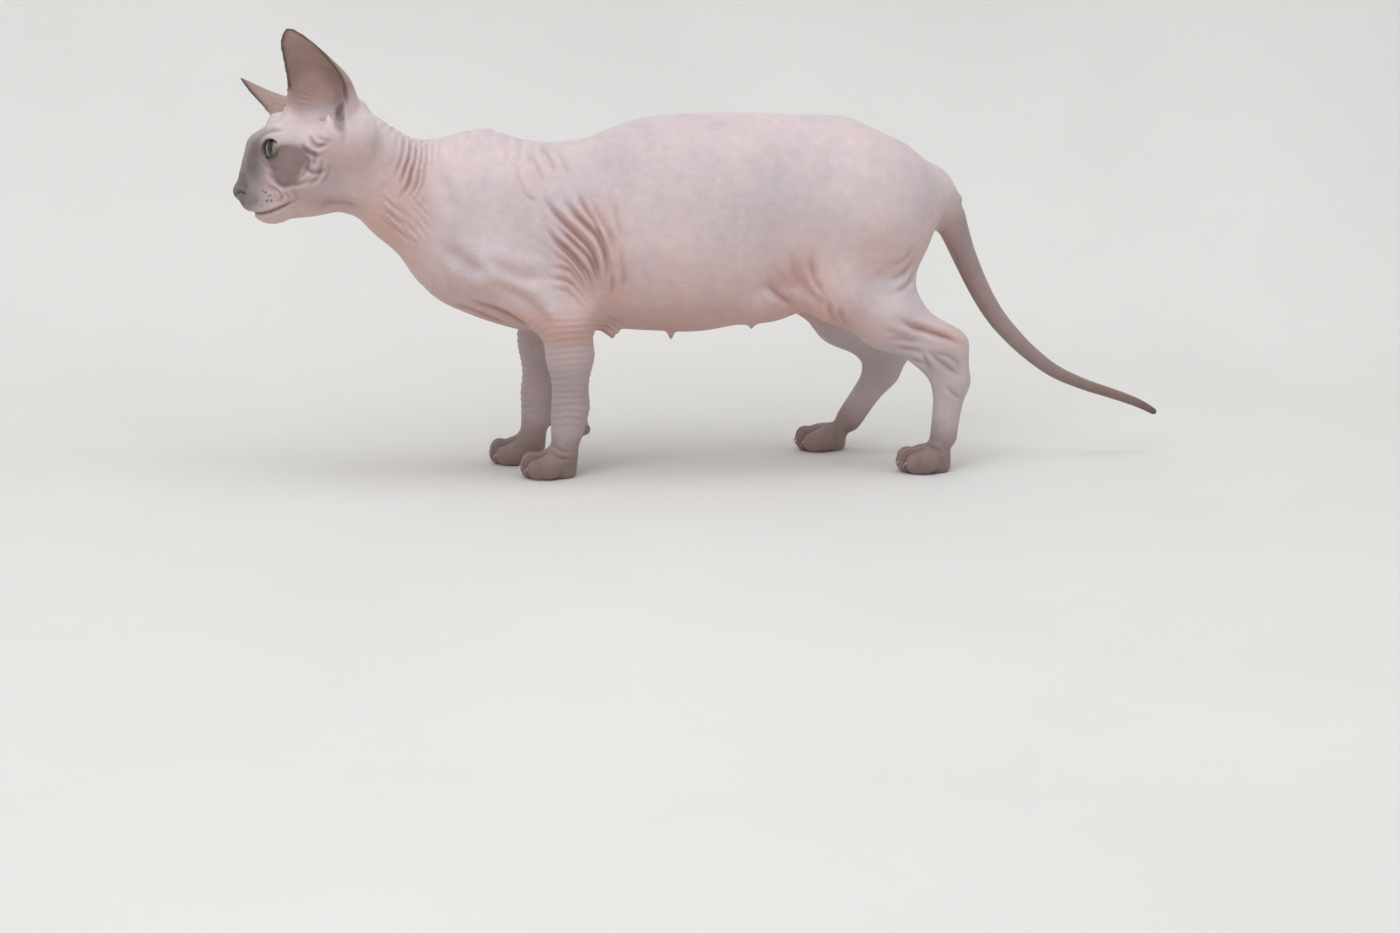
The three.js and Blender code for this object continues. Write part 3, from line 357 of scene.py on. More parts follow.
TRUNK_STROKES = strokes(
    Side.BOTH,
    (0.7, 1.7, -127.6, 203.6, -124.3, 198.0, -117.6, 193.5),
    (
        2.5, 2.1, -113.6, 199.9, -107.6, 188.9, -99.8, 179.8, -92.0, 172.4, -83.0, 162.7, -78.5, 152.4,
        -76.6, 134.0,
    ),
    (
        2.3, 2.0, -100.7, 198.7, -92.9, 186.5, -85.1, 178.5, -77.2, 169.4, -72.8, 159.1, -71.2, 148.0,
        -73.0, 138.0,
    ),
    (1.5, 1.9, -90.5, 201.9, -85.0, 188.6, -78.3, 178.4, -72.3, 163.1),
    (0.9, 2.2, -82.0, 199.0, -76.0, 184.0, -69.0, 171.0, -65.5, 158.0),
    (2.1, 1.7, -107.7, 182.1, -101.0, 174.2, -93.2, 166.2, -85.3, 158.2, -79.7, 147.9, -77.5, 134.4),
    (1.8, 1.6, -114.5, 177.7, -105.6, 168.6, -96.6, 160.6, -88.8, 151.4, -83.2, 143.4, -78.7, 128.8),
    (1.3, 1.4, -112.3, 171.0, -102.2, 162.9, -92.2, 152.6, -85.5, 142.3, -79.9, 127.6),
    (0.9, 1.3, -107.0, 158.5, -97.1, 152.5, -89.5, 142.6, -82.4, 129.1),
    (1.0, 1.4, -110.3, 150.6, -97.9, 148.1, -90.0, 138.9, -82.2, 126.5),
    (0.8, 1.4, -112.7, 142.7, -100.2, 141.4, -91.2, 134.4, -82.3, 122.1),
    (0.6, 1.4, -112.0, 135.5, -101.0, 134.5, -92.0, 128.0, -84.0, 118.0),
    (0.8, 2.4, -62.6, 160.7, -60.1, 145.3, -59.3, 131.9),
    (0.9, 2.0, -69.5, 148.0, -67.5, 138.0, -68.0, 128.0),
    (0.6, 2.6, -65.7, 194.9, -63.5, 179.4, -61.3, 168.3),
    (0.9, 2.6, -113.2, 231.9, -108.2, 222.6, -103.5, 211.9),
    (0.7, 2.4, -103.7, 229.0, -98.7, 221.2, -94.9, 210.5),
    (0.7, 2.4, -122.8, 227.0, -116.2, 216.9, -111.8, 204.0),
    (0.5, 2.4, -131.8, 221.3, -129.2, 209.2, -124.5, 198.5),
    (0.7, 1.9, -209.9, 240.8, -211.3, 227.7, -216.0, 214.5),
    (1.5, 1.5, -205.4, 243.7, -206.8, 228.7, -209.8, 218.7, -213.3, 208.9),
    (1.7, 1.5, -201.0, 242.5, -202.6, 225.4, -206.0, 215.3, -210.1, 203.3),
    (1.9, 1.5, -197.2, 241.4, -198.6, 223.1, -201.6, 214.2, -204.0, 205.2, -210.7, 195.4),
    (1.7, 1.4, -193.8, 241.3, -194.6, 225.3, -196.5, 216.4, -197.8, 207.4, -204.0, 195.5),
    (1.3, 1.4, -190.2, 241.3, -191.3, 224.1, -193.2, 214.1, -195.1, 205.1, -201.2, 193.3),
    (0.7, 1.6, -186.3, 240.3, -187.0, 226.3, -189.3, 213.4),
    (0.5, 1.7, -182.3, 240.2, -183.2, 226.3, -184.1, 217.6),
    (1.9, 2.2, -165.3, 128.0, -155.2, 123.8, -141.6, 119.0, -128.0, 110.7, -119.2, 101.1),
    (1.2, 2.0, -179.0, 123.7, -164.3, 119.4, -148.5, 112.8, -134.9, 107.9),
    (1.8, 4.2, -150.8, 143.1, -140.5, 136.2, -128.5, 129.3, -117.6, 116.9, -110.0, 100.2),
    (0.7, 1.6, -223.6, 184.1, -217.0, 178.4, -208.3, 171.5, -198.6, 164.9),
    (0.6, 1.5, -223.4, 190.8, -214.7, 184.0, -204.0, 175.1),
    (0.45, 1.4, -221.0, 197.0, -212.7, 190.0, -203.0, 182.0),
    (1.6, 5.0, -182.7, 167.7, -170.8, 155.7, -159.7, 149.9, -148.9, 149.9),
    (1.5, 4.4, -155.0, 161.1, -141.9, 149.8, -131.9, 145.1, -118.4, 143.2, -107.3, 143.1),
    (0.9, 5.0, -184.7, 221.5, -177.6, 198.0, -172.0, 184.0),
    (1.7, 3.0, 55.1, 155.2, 62.8, 138.7, 71.4, 127.4, 81.3, 116.9),
    (1.1, 2.6, 68.7, 155.2, 73.0, 138.7, 80.8, 126.5),
    (1.3, 2.8, 38.0, 138.0, 48.0, 128.5, 62.0, 118.5),
    (0.9, 1.9, 82.1, 124.2, 84.2, 115.2, 91.2, 107.2),
    (0.7, 1.8, 89.1, 121.1, 92.2, 112.2, 98.0, 106.0),
)
NEAR_HIND_STROKES = strokes(
    Side.LEFT,
    (1.9, 2.3, 130.2, 111.4, 142.3, 105.2, 154.5, 101.1, 167.7, 96.8, 180.9, 90.7),
    (1.4, 2.2, 151.7, 89.2, 162.0, 81.0, 170.2, 74.9, 178.4, 68.7),
    (1.2, 1.7, 148.7, 88.3, 153.9, 79.2, 158.1, 70.2),
    (1.1, 2.0, 154.8, 87.1, 165.9, 84.9, 174.2, 79.8, 178.4, 71.7),
    (1.0, 1.9, 124.4, 97.6, 135.4, 97.0, 145.5, 94.3),
    (1.0, 1.7, 129.5, 90.6, 142.6, 88.9, 152.7, 86.2),
    (0.8, 1.5, 140.7, 82.4, 149.9, 79.3, 156.0, 75.7),
    (0.6, 1.8, 119.3, 104.7, 129.3, 101.1, 139.4, 99.4),
    (0.8, 1.6, 166.5, 62.9, 174.7, 55.7, 180.9, 52.6),
    (1.0, 1.2, 154.1, 19.9, 162.3, 17.2, 167.4, 12.5),
)
FAR_HIND_STROKES = strokes(
    Side.RIGHT,
    (1.3, 2.2, 86.0, 104.0, 98.0, 94.0, 108.0, 84.0, 117.0, 76.0),
    (1.1, 2.0, 97.0, 100.0, 108.0, 92.0, 121.0, 86.0),
)
REAR_STROKES = strokes(
    Side.BOTH,
    (0.9, 2.0, 144.0, 153.9, 137.0, 143.0, 124.5, 136.6),
    (0.8, 2.0, 146.3, 144.8, 139.3, 133.9, 126.7, 128.4),
    (0.5, 1.9, 143.0, 162.5, 135.0, 152.0, 122.0, 147.5),
    (1.1, 1.2, -111.2, 20.7, -104.1, 16.1, -95.5, 14.2),
    (0.8, 1.2, -110.5, 25.2, -103.1, 20.6, -94.5, 18.7),
)
HIND_STROKES = NEAR_HIND_STROKES + FAR_HIND_STROKES
STROKES = HEAD_STROKES + (NOSTRIL, MOUTH) + TRUNK_STROKES + HIND_STROKES + REAR_STROKES


@dataclass(frozen=True)
class Folds:
    """A family of like folds: their phase, how far apart they lie, and where they show."""

    depth: float
    spacing: float

    def height(self, phase: np.ndarray, mask: np.ndarray) -> np.ndarray:
        """How far the family moves each point, in millimetres.

        Args:
            phase: distance across the folds in millimetres.
            mask: where the folds show, 0 to 1.

        Returns:
            One number for each point.
        """
        turn = phase / self.spacing
        side = 2.0 * np.abs(turn - np.round(turn))
        soft = 0.28
        bent = np.sqrt(side**2 + soft**2) - soft
        roll = 1.0 - (1.0 - np.clip(bent / (math.sqrt(1 + soft**2) - soft), 0.0, 1.0)) ** 2
        return self.depth * (roll - 0.62) * mask


def all_folds(skin: Surface) -> tuple[np.ndarray, np.ndarray]:
    """All folds and wrinkles of the skin.

    Args:
        skin: points and normals.

    Returns:
        Movement along the normal in millimetres, below zero in a crease, and how dark the painted shade in
        each crease is.
    """
    x, y, z = skin.x, skin.y, skin.z
    up = skin.normals[:, 2]
    side = np.abs(y)
    out = np.zeros(len(x))
    valley_shade = np.zeros(len(x))
    # Each stroke adds its relief and the painted shade of its valley.
    for stroke in STROKES:
        press, dark = stroke.press(skin)
        out += press
        valley_shade = np.maximum(valley_shade, dark)
    pressed = out.copy()

    drift = wander(skin.points, 24.0, 3)
    fine = wander(skin.points, 9.0, 4)
    patchy = 0.72 + 0.28 * wander(skin.points, 15.0, 5)
    torso = smooth(96.0, 108.0, z)

    # Rings over the nape, which the strokes carry on down the sides of the neck.
    phase = x + 0.30 * side + 0.05 * (236 - z) + 1.2 * drift
    mask = band(-224, -176, 14, phase) * smooth(0.45, 0.8, up) * smooth(200, 214, z) * patchy
    out += Folds(1.5, 4.9).height(phase, mask)

    # Long folds between the ears, from the brow to the nape.
    phase = y * (1.0 + 0.18 * smooth(-262, -300, x)) + 1.5 * drift + 2.75
    mask = band(-307, -226, 16, x) * smooth(0.2, 0.6, up) * smooth(238, 248, z) * (1 - smooth(17, 25, side))
    out += Folds(1.25, 5.6).height(phase, mask * patchy)

    # Fine short folds at the front root of each ear.
    phase = z + 0.3 * x + 0.7 * fine
    mask = band(-300, -262, 10, x) * band(250, 290, 12, z) * band(11, 28, 4, side)
    out += Folds(1.05, 3.7).height(phase, mask * (skin.normals[:, 0] < 0.5))

    # Light wrinkles over the shoulder blade and the side of the chest.
    dx, dz = x + 150.0, z - 126.0
    radius = np.hypot(dx, dz)
    angle = np.degrees(np.arctan2(dz, dx))
    phase = radius * 0.9 + 2.6 * drift + 1.1 * fine
    mask = band(30, 74, 14, radius) * band(-20, 78, 24, angle) * smooth(26, 40, side) * torso
    out += Folds(0.35, 6.0).height(phase, mask * patchy)

    # Arcs over the back behind the shoulder blades.
    phase = x + 0.16 * side + 2.8 * drift
    mask = band(-180, -98, 18, phase) * smooth(0.55, 0.85, up) * smooth(206, 222, z)
    out += Folds(1.0, 8.4).height(phase, mask * patchy)

    # Crossed wrinkles at the throat.
    mask = band(-228, -184, 14, x) * band(158, 206, 16, z) * smooth(0.5, 0.0, up)
    out += Folds(0.85, 5.4).height(x + 0.8 * z + 3.2 * drift, mask * patchy)
    out += Folds(0.25, 4.2).height(x - 0.7 * z + 2.2 * fine, mask)

    # Rings round the forearms.
    leg = band(24, 128, 20, z) * (x < -60) * band(12, 64, 4, side) * patchy
    phase = z + 0.010 * (x + 96) ** 2 + 1.5 * drift + 0.8 * fine
    out += Folds(0.85, 4.8).height(phase, leg)

    # Loose skin at the flank and in the groin.
    mask = band(24, 98, 20, x) * band(102, 160, 18, z) * smooth(20, 36, side)
    out += Folds(0.5, 7.5).height(0.85 * x + 0.5 * z + 2.5 * drift + fine, mask * patchy)

    # Toe clefts.
    out += toe_clefts(skin)

    # Slow swells of muscle under the skin.
    swell = 0.55 * wander(skin.points, 46.0, 8) * smooth(100, 130, z) * (x > -200)
    # Painted shade in the creases: the larger of the strokes' valley shade, weakened, and the shade of the
    # fold families' valleys.
    valley_shade = np.maximum(valley_shade * 0.34, np.clip(-(out - pressed) * 0.30 - 0.05, 0.0, 0.5))
    return out + swell, valley_shade


def toe_clefts(skin: Surface) -> np.ndarray:
    """The grooves between the toes of each paw.

    Args:
        skin: points and normals.

    Returns:
        Movement along the normal in millimetres.
    """
    out = np.zeros(len(skin.points))
    for paw in PAWS:
        ahead = -(skin.x - paw.x)
        across = skin.y - paw.y
        near = (np.abs(across) < 18) & (ahead > -4) & (ahead < 34) & (skin.z < 27)
        here = near * smooth(1.0, 9.0, ahead) * smooth(26, 18, skin.z)
        for place in (-0.67, 0.0, 0.67):
            off = across - place * paw.width * 0.66 * (0.93 + 0.004 * ahead)
            out -= 2.3 * here * np.exp(-((off / 1.25) ** 2))
    return out


def blob(skin: Surface, at: Point, size: Point) -> np.ndarray:
    """A soft spot on the skin, on both sides of the cat.

    Args:
        skin: points and normals.
        at: middle of the spot, with y as the distance from the midline.
        size: reach along x, y and z.

    Returns:
        0 to 1 for each point.
    """
    place = np.column_stack([skin.x, np.abs(skin.y), skin.z]) - np.array(at)
    far = np.linalg.norm(place / np.array(size), axis=1)
    return 1.0 - smooth(0.45, 1.0, far)


def spots(skin: Surface, *rows: tuple[float, Point, Point]) -> np.ndarray:
    """The sum of some soft spots.

    Args:
        skin: points and normals.
        rows: how strong each spot is, its middle and its reach.

    Returns:
        A number for each point, which may pass 1.
    """
    return sum(strength * blob(skin, at, size) for strength, at, size in rows)


def markings(skin: Surface) -> dict[str, np.ndarray]:
    """How the colour of the skin changes over the cat, with shade painted into the creases' neighbours the
    ear canals, the nostrils and the lips' parting, and onto skin that faces down.

    Args:
        skin: points and normals.

    Returns:
        Masks from 0 to 1 by name.
    """
    x, y, z = skin.x, skin.y, skin.z
    side = np.abs(y)
    drift = wander(skin.points, 18.0, 11)
    on_left = smooth(254, 276, z - 3.0 * drift) * (y < 0)
    on_right = smooth(6, 26, -(x + 262) + 0.9 * (z - 246)) * (y > 18) * (z > 246)
    ear = np.maximum(on_left, on_right) * (x < -222)
    margin = np.full(len(x), FAR)
    for curve in EAR_MARGINS:
        knots = np.array(curve)
        line = [a + (b - a) * t for a, b in zip(knots[:-1], knots[1:]) for t in np.linspace(0, 1, 10)]
        margin = np.minimum(margin, curve_distance(skin, np.array(line), 24.0))
    margin = (1.0 - smooth(1.2, 3.4, margin)) * smooth(256, 268, z + 0.35 * np.maximum(0, y))
    # Painted shade in the recess of each ear canal.
    canal_shade = np.maximum(
        blob(skin, (-250, 36, 259), (6.5, 20, 14)), 0.7 * blob(skin, (-248.5, 38, 248), (6, 16, 9))
    )
    canal_shade = canal_shade * (y < 0) + blob(skin, (-262, 46, 243), (9, 9, 8)) * (y > 0)
    inner_pink = blob(skin, (-266, 26, 270), (16, 22, 17)) * (y < 0)
    front = smooth(-294, -311, x + 2.5 * drift) * smooth(183, 196, z - 0.35 * (x + 306))
    dark = front * (0.86 - 0.16 * smooth(216, 236, z)) + spots(
        skin,
        (0.55, (-318, 5, 201), (13, 13, 15)),
        (0.35, (-304, 14, 222), (11, 12, 20)),
        (0.25, (-268, 34, 208), (26, 22, 26)),
    )
    patch = spots(
        skin,
        (1.0, (-287, 28, 221), (17, 19, 17)),
        (1.0, (-279, 30, 224), (16, 19, 13)),
        (1.0, (-284, 28, 212), (13, 17, 10)),
    )
    patch = np.clip(patch, 0, 1) * smooth(241, 233, z + 0.25 * (x + 288)) * smooth(202, 207, z)
    pale = spots(
        skin,
        (1.0, (-272, 34, 247), (30, 24, 13)),
        (0.7, (-250, 36, 252), (10, 20, 14)),
        (0.4, (-235, 28, 240), (22, 26, 26)),
    )
    foot = smooth(62, 6, z + 3 * drift) * (x < 185)
    leg = 0.50 * smooth(128, 60, z) * (x < 190) * (side > 12) * np.where(x < 0, 1.0, 0.6)
    tail = 0.72 * smooth(168, 190, x) * smooth(212, 172, z) + 0.28 * smooth(190, 320, x)
    brown = np.maximum.reduce([foot * 0.95, leg, tail * smooth(27, 22, side)])
    knob_places = ((-84.6, 28.5, 33.6), (-105, 30, 30.5))
    knob = np.where(y < 0, *(blob(skin, place, (8, 8, 8)) for place in knob_places))
    pink_and_underside_shade = (
        0.7 * smooth(128, 108, z) * band(-170, 110, 30, x) * smooth(78, 112, z)
        # Painted shade: skin that faces down is darker and warmer.
        + 0.7 * smooth(0.3, -0.6, skin.normals[:, 2]) * smooth(84, 108, z)
        + 0.4 * inner_pink
        + spots(
            skin,
            (0.5, (-82, 50, 150), (34, 30, 60)),
            (0.5, (66, 46, 132), (36, 34, 34)),
            (0.55, (-208, 24, 190), (34, 30, 48)),
            (0.5, (170, 44, 96), (22, 24, 14)),
        )
    )
    nipples = [blob(skin, (tx, ty, tz - 6), (8, 8, 8)) for tx, ty, tz, _ in TEATS]
    lids = 1.0 - smooth(1.6, 3.2, lid_distance(skin))
    tip = 0.75 * smooth(318, 346, x)
    masks = {
        "ear": ear * (1 - 0.45 * inner_pink),
        "dark": dark,
        "patch": patch,
        "pad": blob(skin, (-300, 13, 196.5), (11, 12, 9)),
        "pale": pale,
        "brown": brown,
        "pink_and_underside_shade": np.maximum.reduce([np.clip(pink_and_underside_shade, 0, 1), *nipples]),
        # Dark rims of the lids, the ear margins, the tail's tip and the knobs behind the wrists, with
        # painted shade in the ear canals, the nostrils and the lips' parting.
        "rim_and_recess_shade": np.maximum.reduce(
            [lids, 0.85 * margin, 0.85 * canal_shade, tip, 0.75 * nostril_and_lip_shade(skin), 0.55 * knob]
        ),
    }
    return {name: np.clip(values, 0, 1) for name, values in masks.items()}


def nostril_and_lip_shade(skin: Surface) -> np.ndarray:
    """Where painted shade darkens the nostrils and the parting of the lips.

    Args:
        skin: points and normals.

    Returns:
        0 to 1 for each point.
    """
    hole = NOSTRIL.press(skin)[1]
    lips = MOUTH.press(skin)[1]
    return np.clip(1.1 * hole + 0.6 * lips, 0, 1)


def curve_distance(skin: Surface, line: np.ndarray, reach: float) -> np.ndarray:
    """Distance from each point to the points of a line.

    Args:
        skin: points and normals.
        line: rows of x, y, z, close together.
        reach: how far from the line's box points are still looked at.

    Returns:
        Millimetres, or FAR.
    """
    out = np.full(len(skin.points), FAR)
    near = np.all((skin.points > line.min(0) - reach) & (skin.points < line.max(0) + reach), axis=1)
    picked = np.nonzero(near)[0]
    chunk = 20_000
    for start in range(0, len(picked), chunk):
        part = picked[start : start + chunk]
        gaps = np.linalg.norm(skin.points[part][:, None, :] - line[None, :, :], axis=2)
        out[part] = gaps.min(axis=1)
    return out


def eye_basis(side: int) -> Matrix:
    """The turn and place of an eye: x along the slanted opening, y across it, z out of the ball.

    Args:
        side: -1 for the left eye, 1 for the right.

    Returns:
        A 4 by 4 matrix in millimetres of the design frame.
    """
    out = Vector((EYE_OUTWARD[0], EYE_OUTWARD[1] * side, EYE_OUTWARD[2])).normalized()
    along = Vector((out.y * side, -out.x * side, 0.0)).normalized()
    up = out.cross(along).normalized()
    if up.z < 0:
        up.negate()
    long = along * math.cos(EYE_SLANT) + up * math.sin(EYE_SLANT)
    tall = out.cross(long).normalized()
    turn = Matrix((long, tall, out)).transposed().to_4x4()
    return Matrix.Translation((EYE_CENTRE[0], EYE_CENTRE[1] * side, EYE_CENTRE[2])) @ turn


def lid_curve(side: int, radius: float = EYE_RADIUS + LID_GAP) -> np.ndarray:
    """The almond edge of the lids on the eyeball.

    Args:
        side: -1 for the left eye, 1 for the right.
        radius: distance of the edge from the middle of the ball.

    Returns:
        Rows of x, y, z in the design frame.
    """
    basis = eye_basis(side)
    rows = []
    count = 72
    for i in range(count):
        a = 2 * math.pi * i / count
        u = math.cos(a) * LID_LENGTH
        v = math.copysign(abs(math.sin(a)) ** 1.2, math.sin(a)) * LID_HEIGHT
        w = math.sqrt(max(radius * radius - u * u - v * v, 4.0))
        rows.append(basis @ Vector((u, v, w)))
    return np.array([tuple(p) for p in rows])


def lid_distance(skin: Surface) -> np.ndarray:
    """Distance from each point to the nearest lid edge.

    Args:
        skin: points and normals.

    Returns:
        Millimetres, or FAR.
    """
    return np.minimum(*(curve_distance(skin, lid_curve(side), 12.0) for side in SIDES))


def active(obj: bpy.types.Object) -> None:
    """Selects one object alone and makes it active.

    Args:
        obj: the object.
    """
    bpy.ops.object.select_all(action="DESELECT")
    obj.select_set(True)
    bpy.context.view_layer.objects.active = obj


def joined(parts: list[bpy.types.Object], name: str) -> bpy.types.Object:
    """Joins objects into one.

    Args:
        parts: the objects, which go into the first of them.
        name: the name of the whole.

    Returns:
        The object.
    """
    bpy.ops.object.select_all(action="DESELECT")
    for part in parts:
        part.select_set(True)
    bpy.context.view_layer.objects.active = parts[0]
    bpy.ops.object.join()
    parts[0].name = name
    parts[0].data.name = name
    return parts[0]


def gather(
    items: bpy.types.bpy_prop_collection, key: str, width: int = 3, kind: type = np.float64
) -> np.ndarray:
    """Reads one property of all items of a mesh.

    Args:
        items: the mesh's vertices, edges or triangles.
        key: the property.
        width: how many numbers it has.
        kind: their type.

    Returns:
        One row for each item.
    """
    values = np.empty(len(items) * width, dtype=kind)
    items.foreach_get(key, values)
    return values.reshape(-1, width)


def store(mesh: bpy.types.Mesh, masks: dict[str, np.ndarray]) -> None:
    """Stores numbers on a mesh for its material to read.

    Args:
        mesh: the mesh.
        masks: one number for each vertex, by name.
    """
    for name, values in masks.items():
        layer = mesh.attributes.new(name, "FLOAT", "POINT")
        layer.data.foreach_set("value", np.ascontiguousarray(values, dtype=np.float32))


def mesh_object(name: str, vertices: np.ndarray, faces: list[tuple[int, ...]]) -> bpy.types.Object:
    """A new mesh object in the scene.

    Args:
        name: its name.
        vertices: rows of x, y, z in metres.
        faces: corner numbers of each face.

    Returns:
        The object.
    """
    mesh = bpy.data.meshes.new(name)
    mesh.from_pydata([tuple(v) for v in vertices], [], faces)
    mesh.update()
    obj = bpy.data.objects.new(name, mesh)
    bpy.context.scene.collection.objects.link(obj)
    return obj


def loft(name: str, vertices: np.ndarray, sides: int, closed: bool = False) -> bpy.types.Object:
    """A closed surface through a row of rings.

    Args:
        name: object name.
        vertices: the rings' corners one ring after another, in metres.
        sides: corners of each ring.
        closed: whether the last ring joins the first. If not, both ends get a flat cap.

    Returns:
        The object.
    """
    count = len(vertices) // sides
    faces = []
    for i in range(count if closed else count - 1):
        here, there = i * sides, (i + 1) % count * sides
        for k in range(sides):
            n = (k + 1) % sides
            faces.append((here + k, here + n, there + n, there + k))
    if not closed:
        faces.append(tuple(range(sides))[::-1])
        faces.append(tuple(range((count - 1) * sides, count * sides)))
    return mesh_object(name, vertices, faces)


def tube(name: str, line: np.ndarray, radius: float, closed: bool) -> bpy.types.Object:
    """A closed tube along a line.

    Args:
        name: object name.
        line: rows of x, y, z in metres.
        radius: tube radius in metres.
        closed: whether the line is a loop.

    Returns:
        The object.
    """
    count, sides = len(line), 8
    verts = []
    for i in range(count):
        before = line[(i - 1) % count] if closed else line[max(i - 1, 0)]
        after = line[(i + 1) % count] if closed else line[min(i + 1, count - 1)]
        tangent = Vector(after - before).normalized()
        across = tangent.cross(Vector((0.13, 0.21, 0.97))).normalized()
        other = tangent.cross(across).normalized()
        for k in range(sides):
            a = 2 * math.pi * k / sides
            verts.append(tuple(Vector(line[i]) + (across * math.cos(a) + other * math.sin(a)) * radius))
    return loft(name, np.array(verts), sides, closed)


def pebble(spot: Point, size: Point) -> bpy.types.Object:
    """A small rounded form that is fused into the skin.

    Args:
        spot: its middle in the design frame.
        size: its radii.

    Returns:
        The object.
    """
    bpy.ops.mesh.primitive_ico_sphere_add(subdivisions=3, radius=1.0)
    obj = bpy.context.object
    scale = Matrix.Diagonal((*(np.array(size) * MM), 1.0))
    obj.data.transform(Matrix.Translation((np.array(spot) + SHIFT) * MM) @ scale)
    return obj


@dataclass
class Facets:
    """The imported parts' outer facets, with the normals of the curved surface at their corners."""

    corners: np.ndarray
    normals: np.ndarray
    tree: BVHTree

    # Metres: how far across a cut the next part's flat is looked for, and corners that count as one.
    CUT_REACH = 0.0008
    CORNER_REACH = 0.0007
    # Facets round a corner share its normal if the cosine between them is above this.
    ALIKE = 0.55
    # The share of the full bulge, which keeps the surface from swelling.
    BULGE = 0.5

    @classmethod
    def of(cls, names: list[str]) -> "Facets":
        """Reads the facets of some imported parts.

        Args:
            names: the parts.

        Returns:
            The facets, without the flats of the thin cuts between parts.
        """
        points, faces, start = [], [], 0
        for name in names:
            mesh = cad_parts[name].data
            mesh.calc_loop_triangles()
            triangles = gather(mesh.loop_triangles, "vertices", kind=np.int32)
            places = np.round(gather(mesh.vertices, "co"), 7)
            merged, inverse = np.unique(places, axis=0, return_inverse=True)
            points.append(merged)
            faces.append(inverse.reshape(-1)[triangles] + start)
            start += len(merged)
        spots, rows = np.vstack(points), np.vstack(faces)
        a, b, c = spots[rows[:, 0]], spots[rows[:, 1]], spots[rows[:, 2]]
        cross = np.cross(b - a, c - a)
        area = np.maximum(np.linalg.norm(cross, axis=1, keepdims=True), 1e-14)
        way = cross / area
        whole = BVHTree.FromPolygons(spots.tolist(), rows.tolist())
        outer = []
        for i, centre in enumerate((a + b + c) / 3):
            _, other, _, _ = whole.ray_cast(Vector(centre + way[i] * 2e-5), Vector(way[i]), cls.CUT_REACH)
            outer.append(other is None or other.dot(Vector(way[i])) > -0.8)
        keep = np.nonzero(outer)[0]
        near = KDTree(len(spots))
        for i, spot in enumerate(spots):
            near.insert(spot, i)
        near.balance()
        touching: list[list[int]] = [[] for _ in spots]
        for face in keep:
            for v in rows[face]:
                touching[v].append(face)
        around = []
        for spot in spots:
            found = near.find_range(spot, cls.CORNER_REACH)
            around.append(sorted({f for _, j, _ in found for f in touching[j]}))
        normals = np.empty((len(keep), 3, 3))
        for row, face in enumerate(keep):
            for k in range(3):
                group = around[rows[face][k]]
                alike = way[group] @ way[face] > cls.ALIKE
                total = (cross[group] * alike[:, None]).sum(0)
                normals[row, k] = total / max(np.linalg.norm(total), 1e-14)
        kept = rows[keep]
        return cls(spots[kept], normals, BVHTree.FromPolygons(spots.tolist(), kept.tolist()))

    def lift(self, points: np.ndarray) -> np.ndarray:
        """How far the curved surface lies from the facets at some points.

        Args:
            points: rows of x, y, z in metres.

        Returns:
            A movement for each point.
        """
        feet = np.empty((len(points), 3))
        index = np.empty(len(points), dtype=np.int64)
        for i, point in enumerate(points.tolist()):
            foot, _, face, _ = self.tree.find_nearest(point)
            feet[i] = foot
            index[i] = face
        corners, normals = self.corners[index], self.normals[index]
        a, b, c = corners[:, 0], corners[:, 1], corners[:, 2]
        whole = np.linalg.norm(np.cross(b - a, c - a), axis=1)
        move = np.zeros((len(points), 3))
        for k, (left, right) in enumerate(((b, c), (c, a), (a, b))):
            share = np.linalg.norm(np.cross(left - feet, right - feet), axis=1) / np.maximum(whole, 1e-16)
            drop = ((feet - corners[:, k]) * normals[:, k]).sum(1)
            move -= normals[:, k] * (drop * share)[:, None]
        return self.BULGE * move


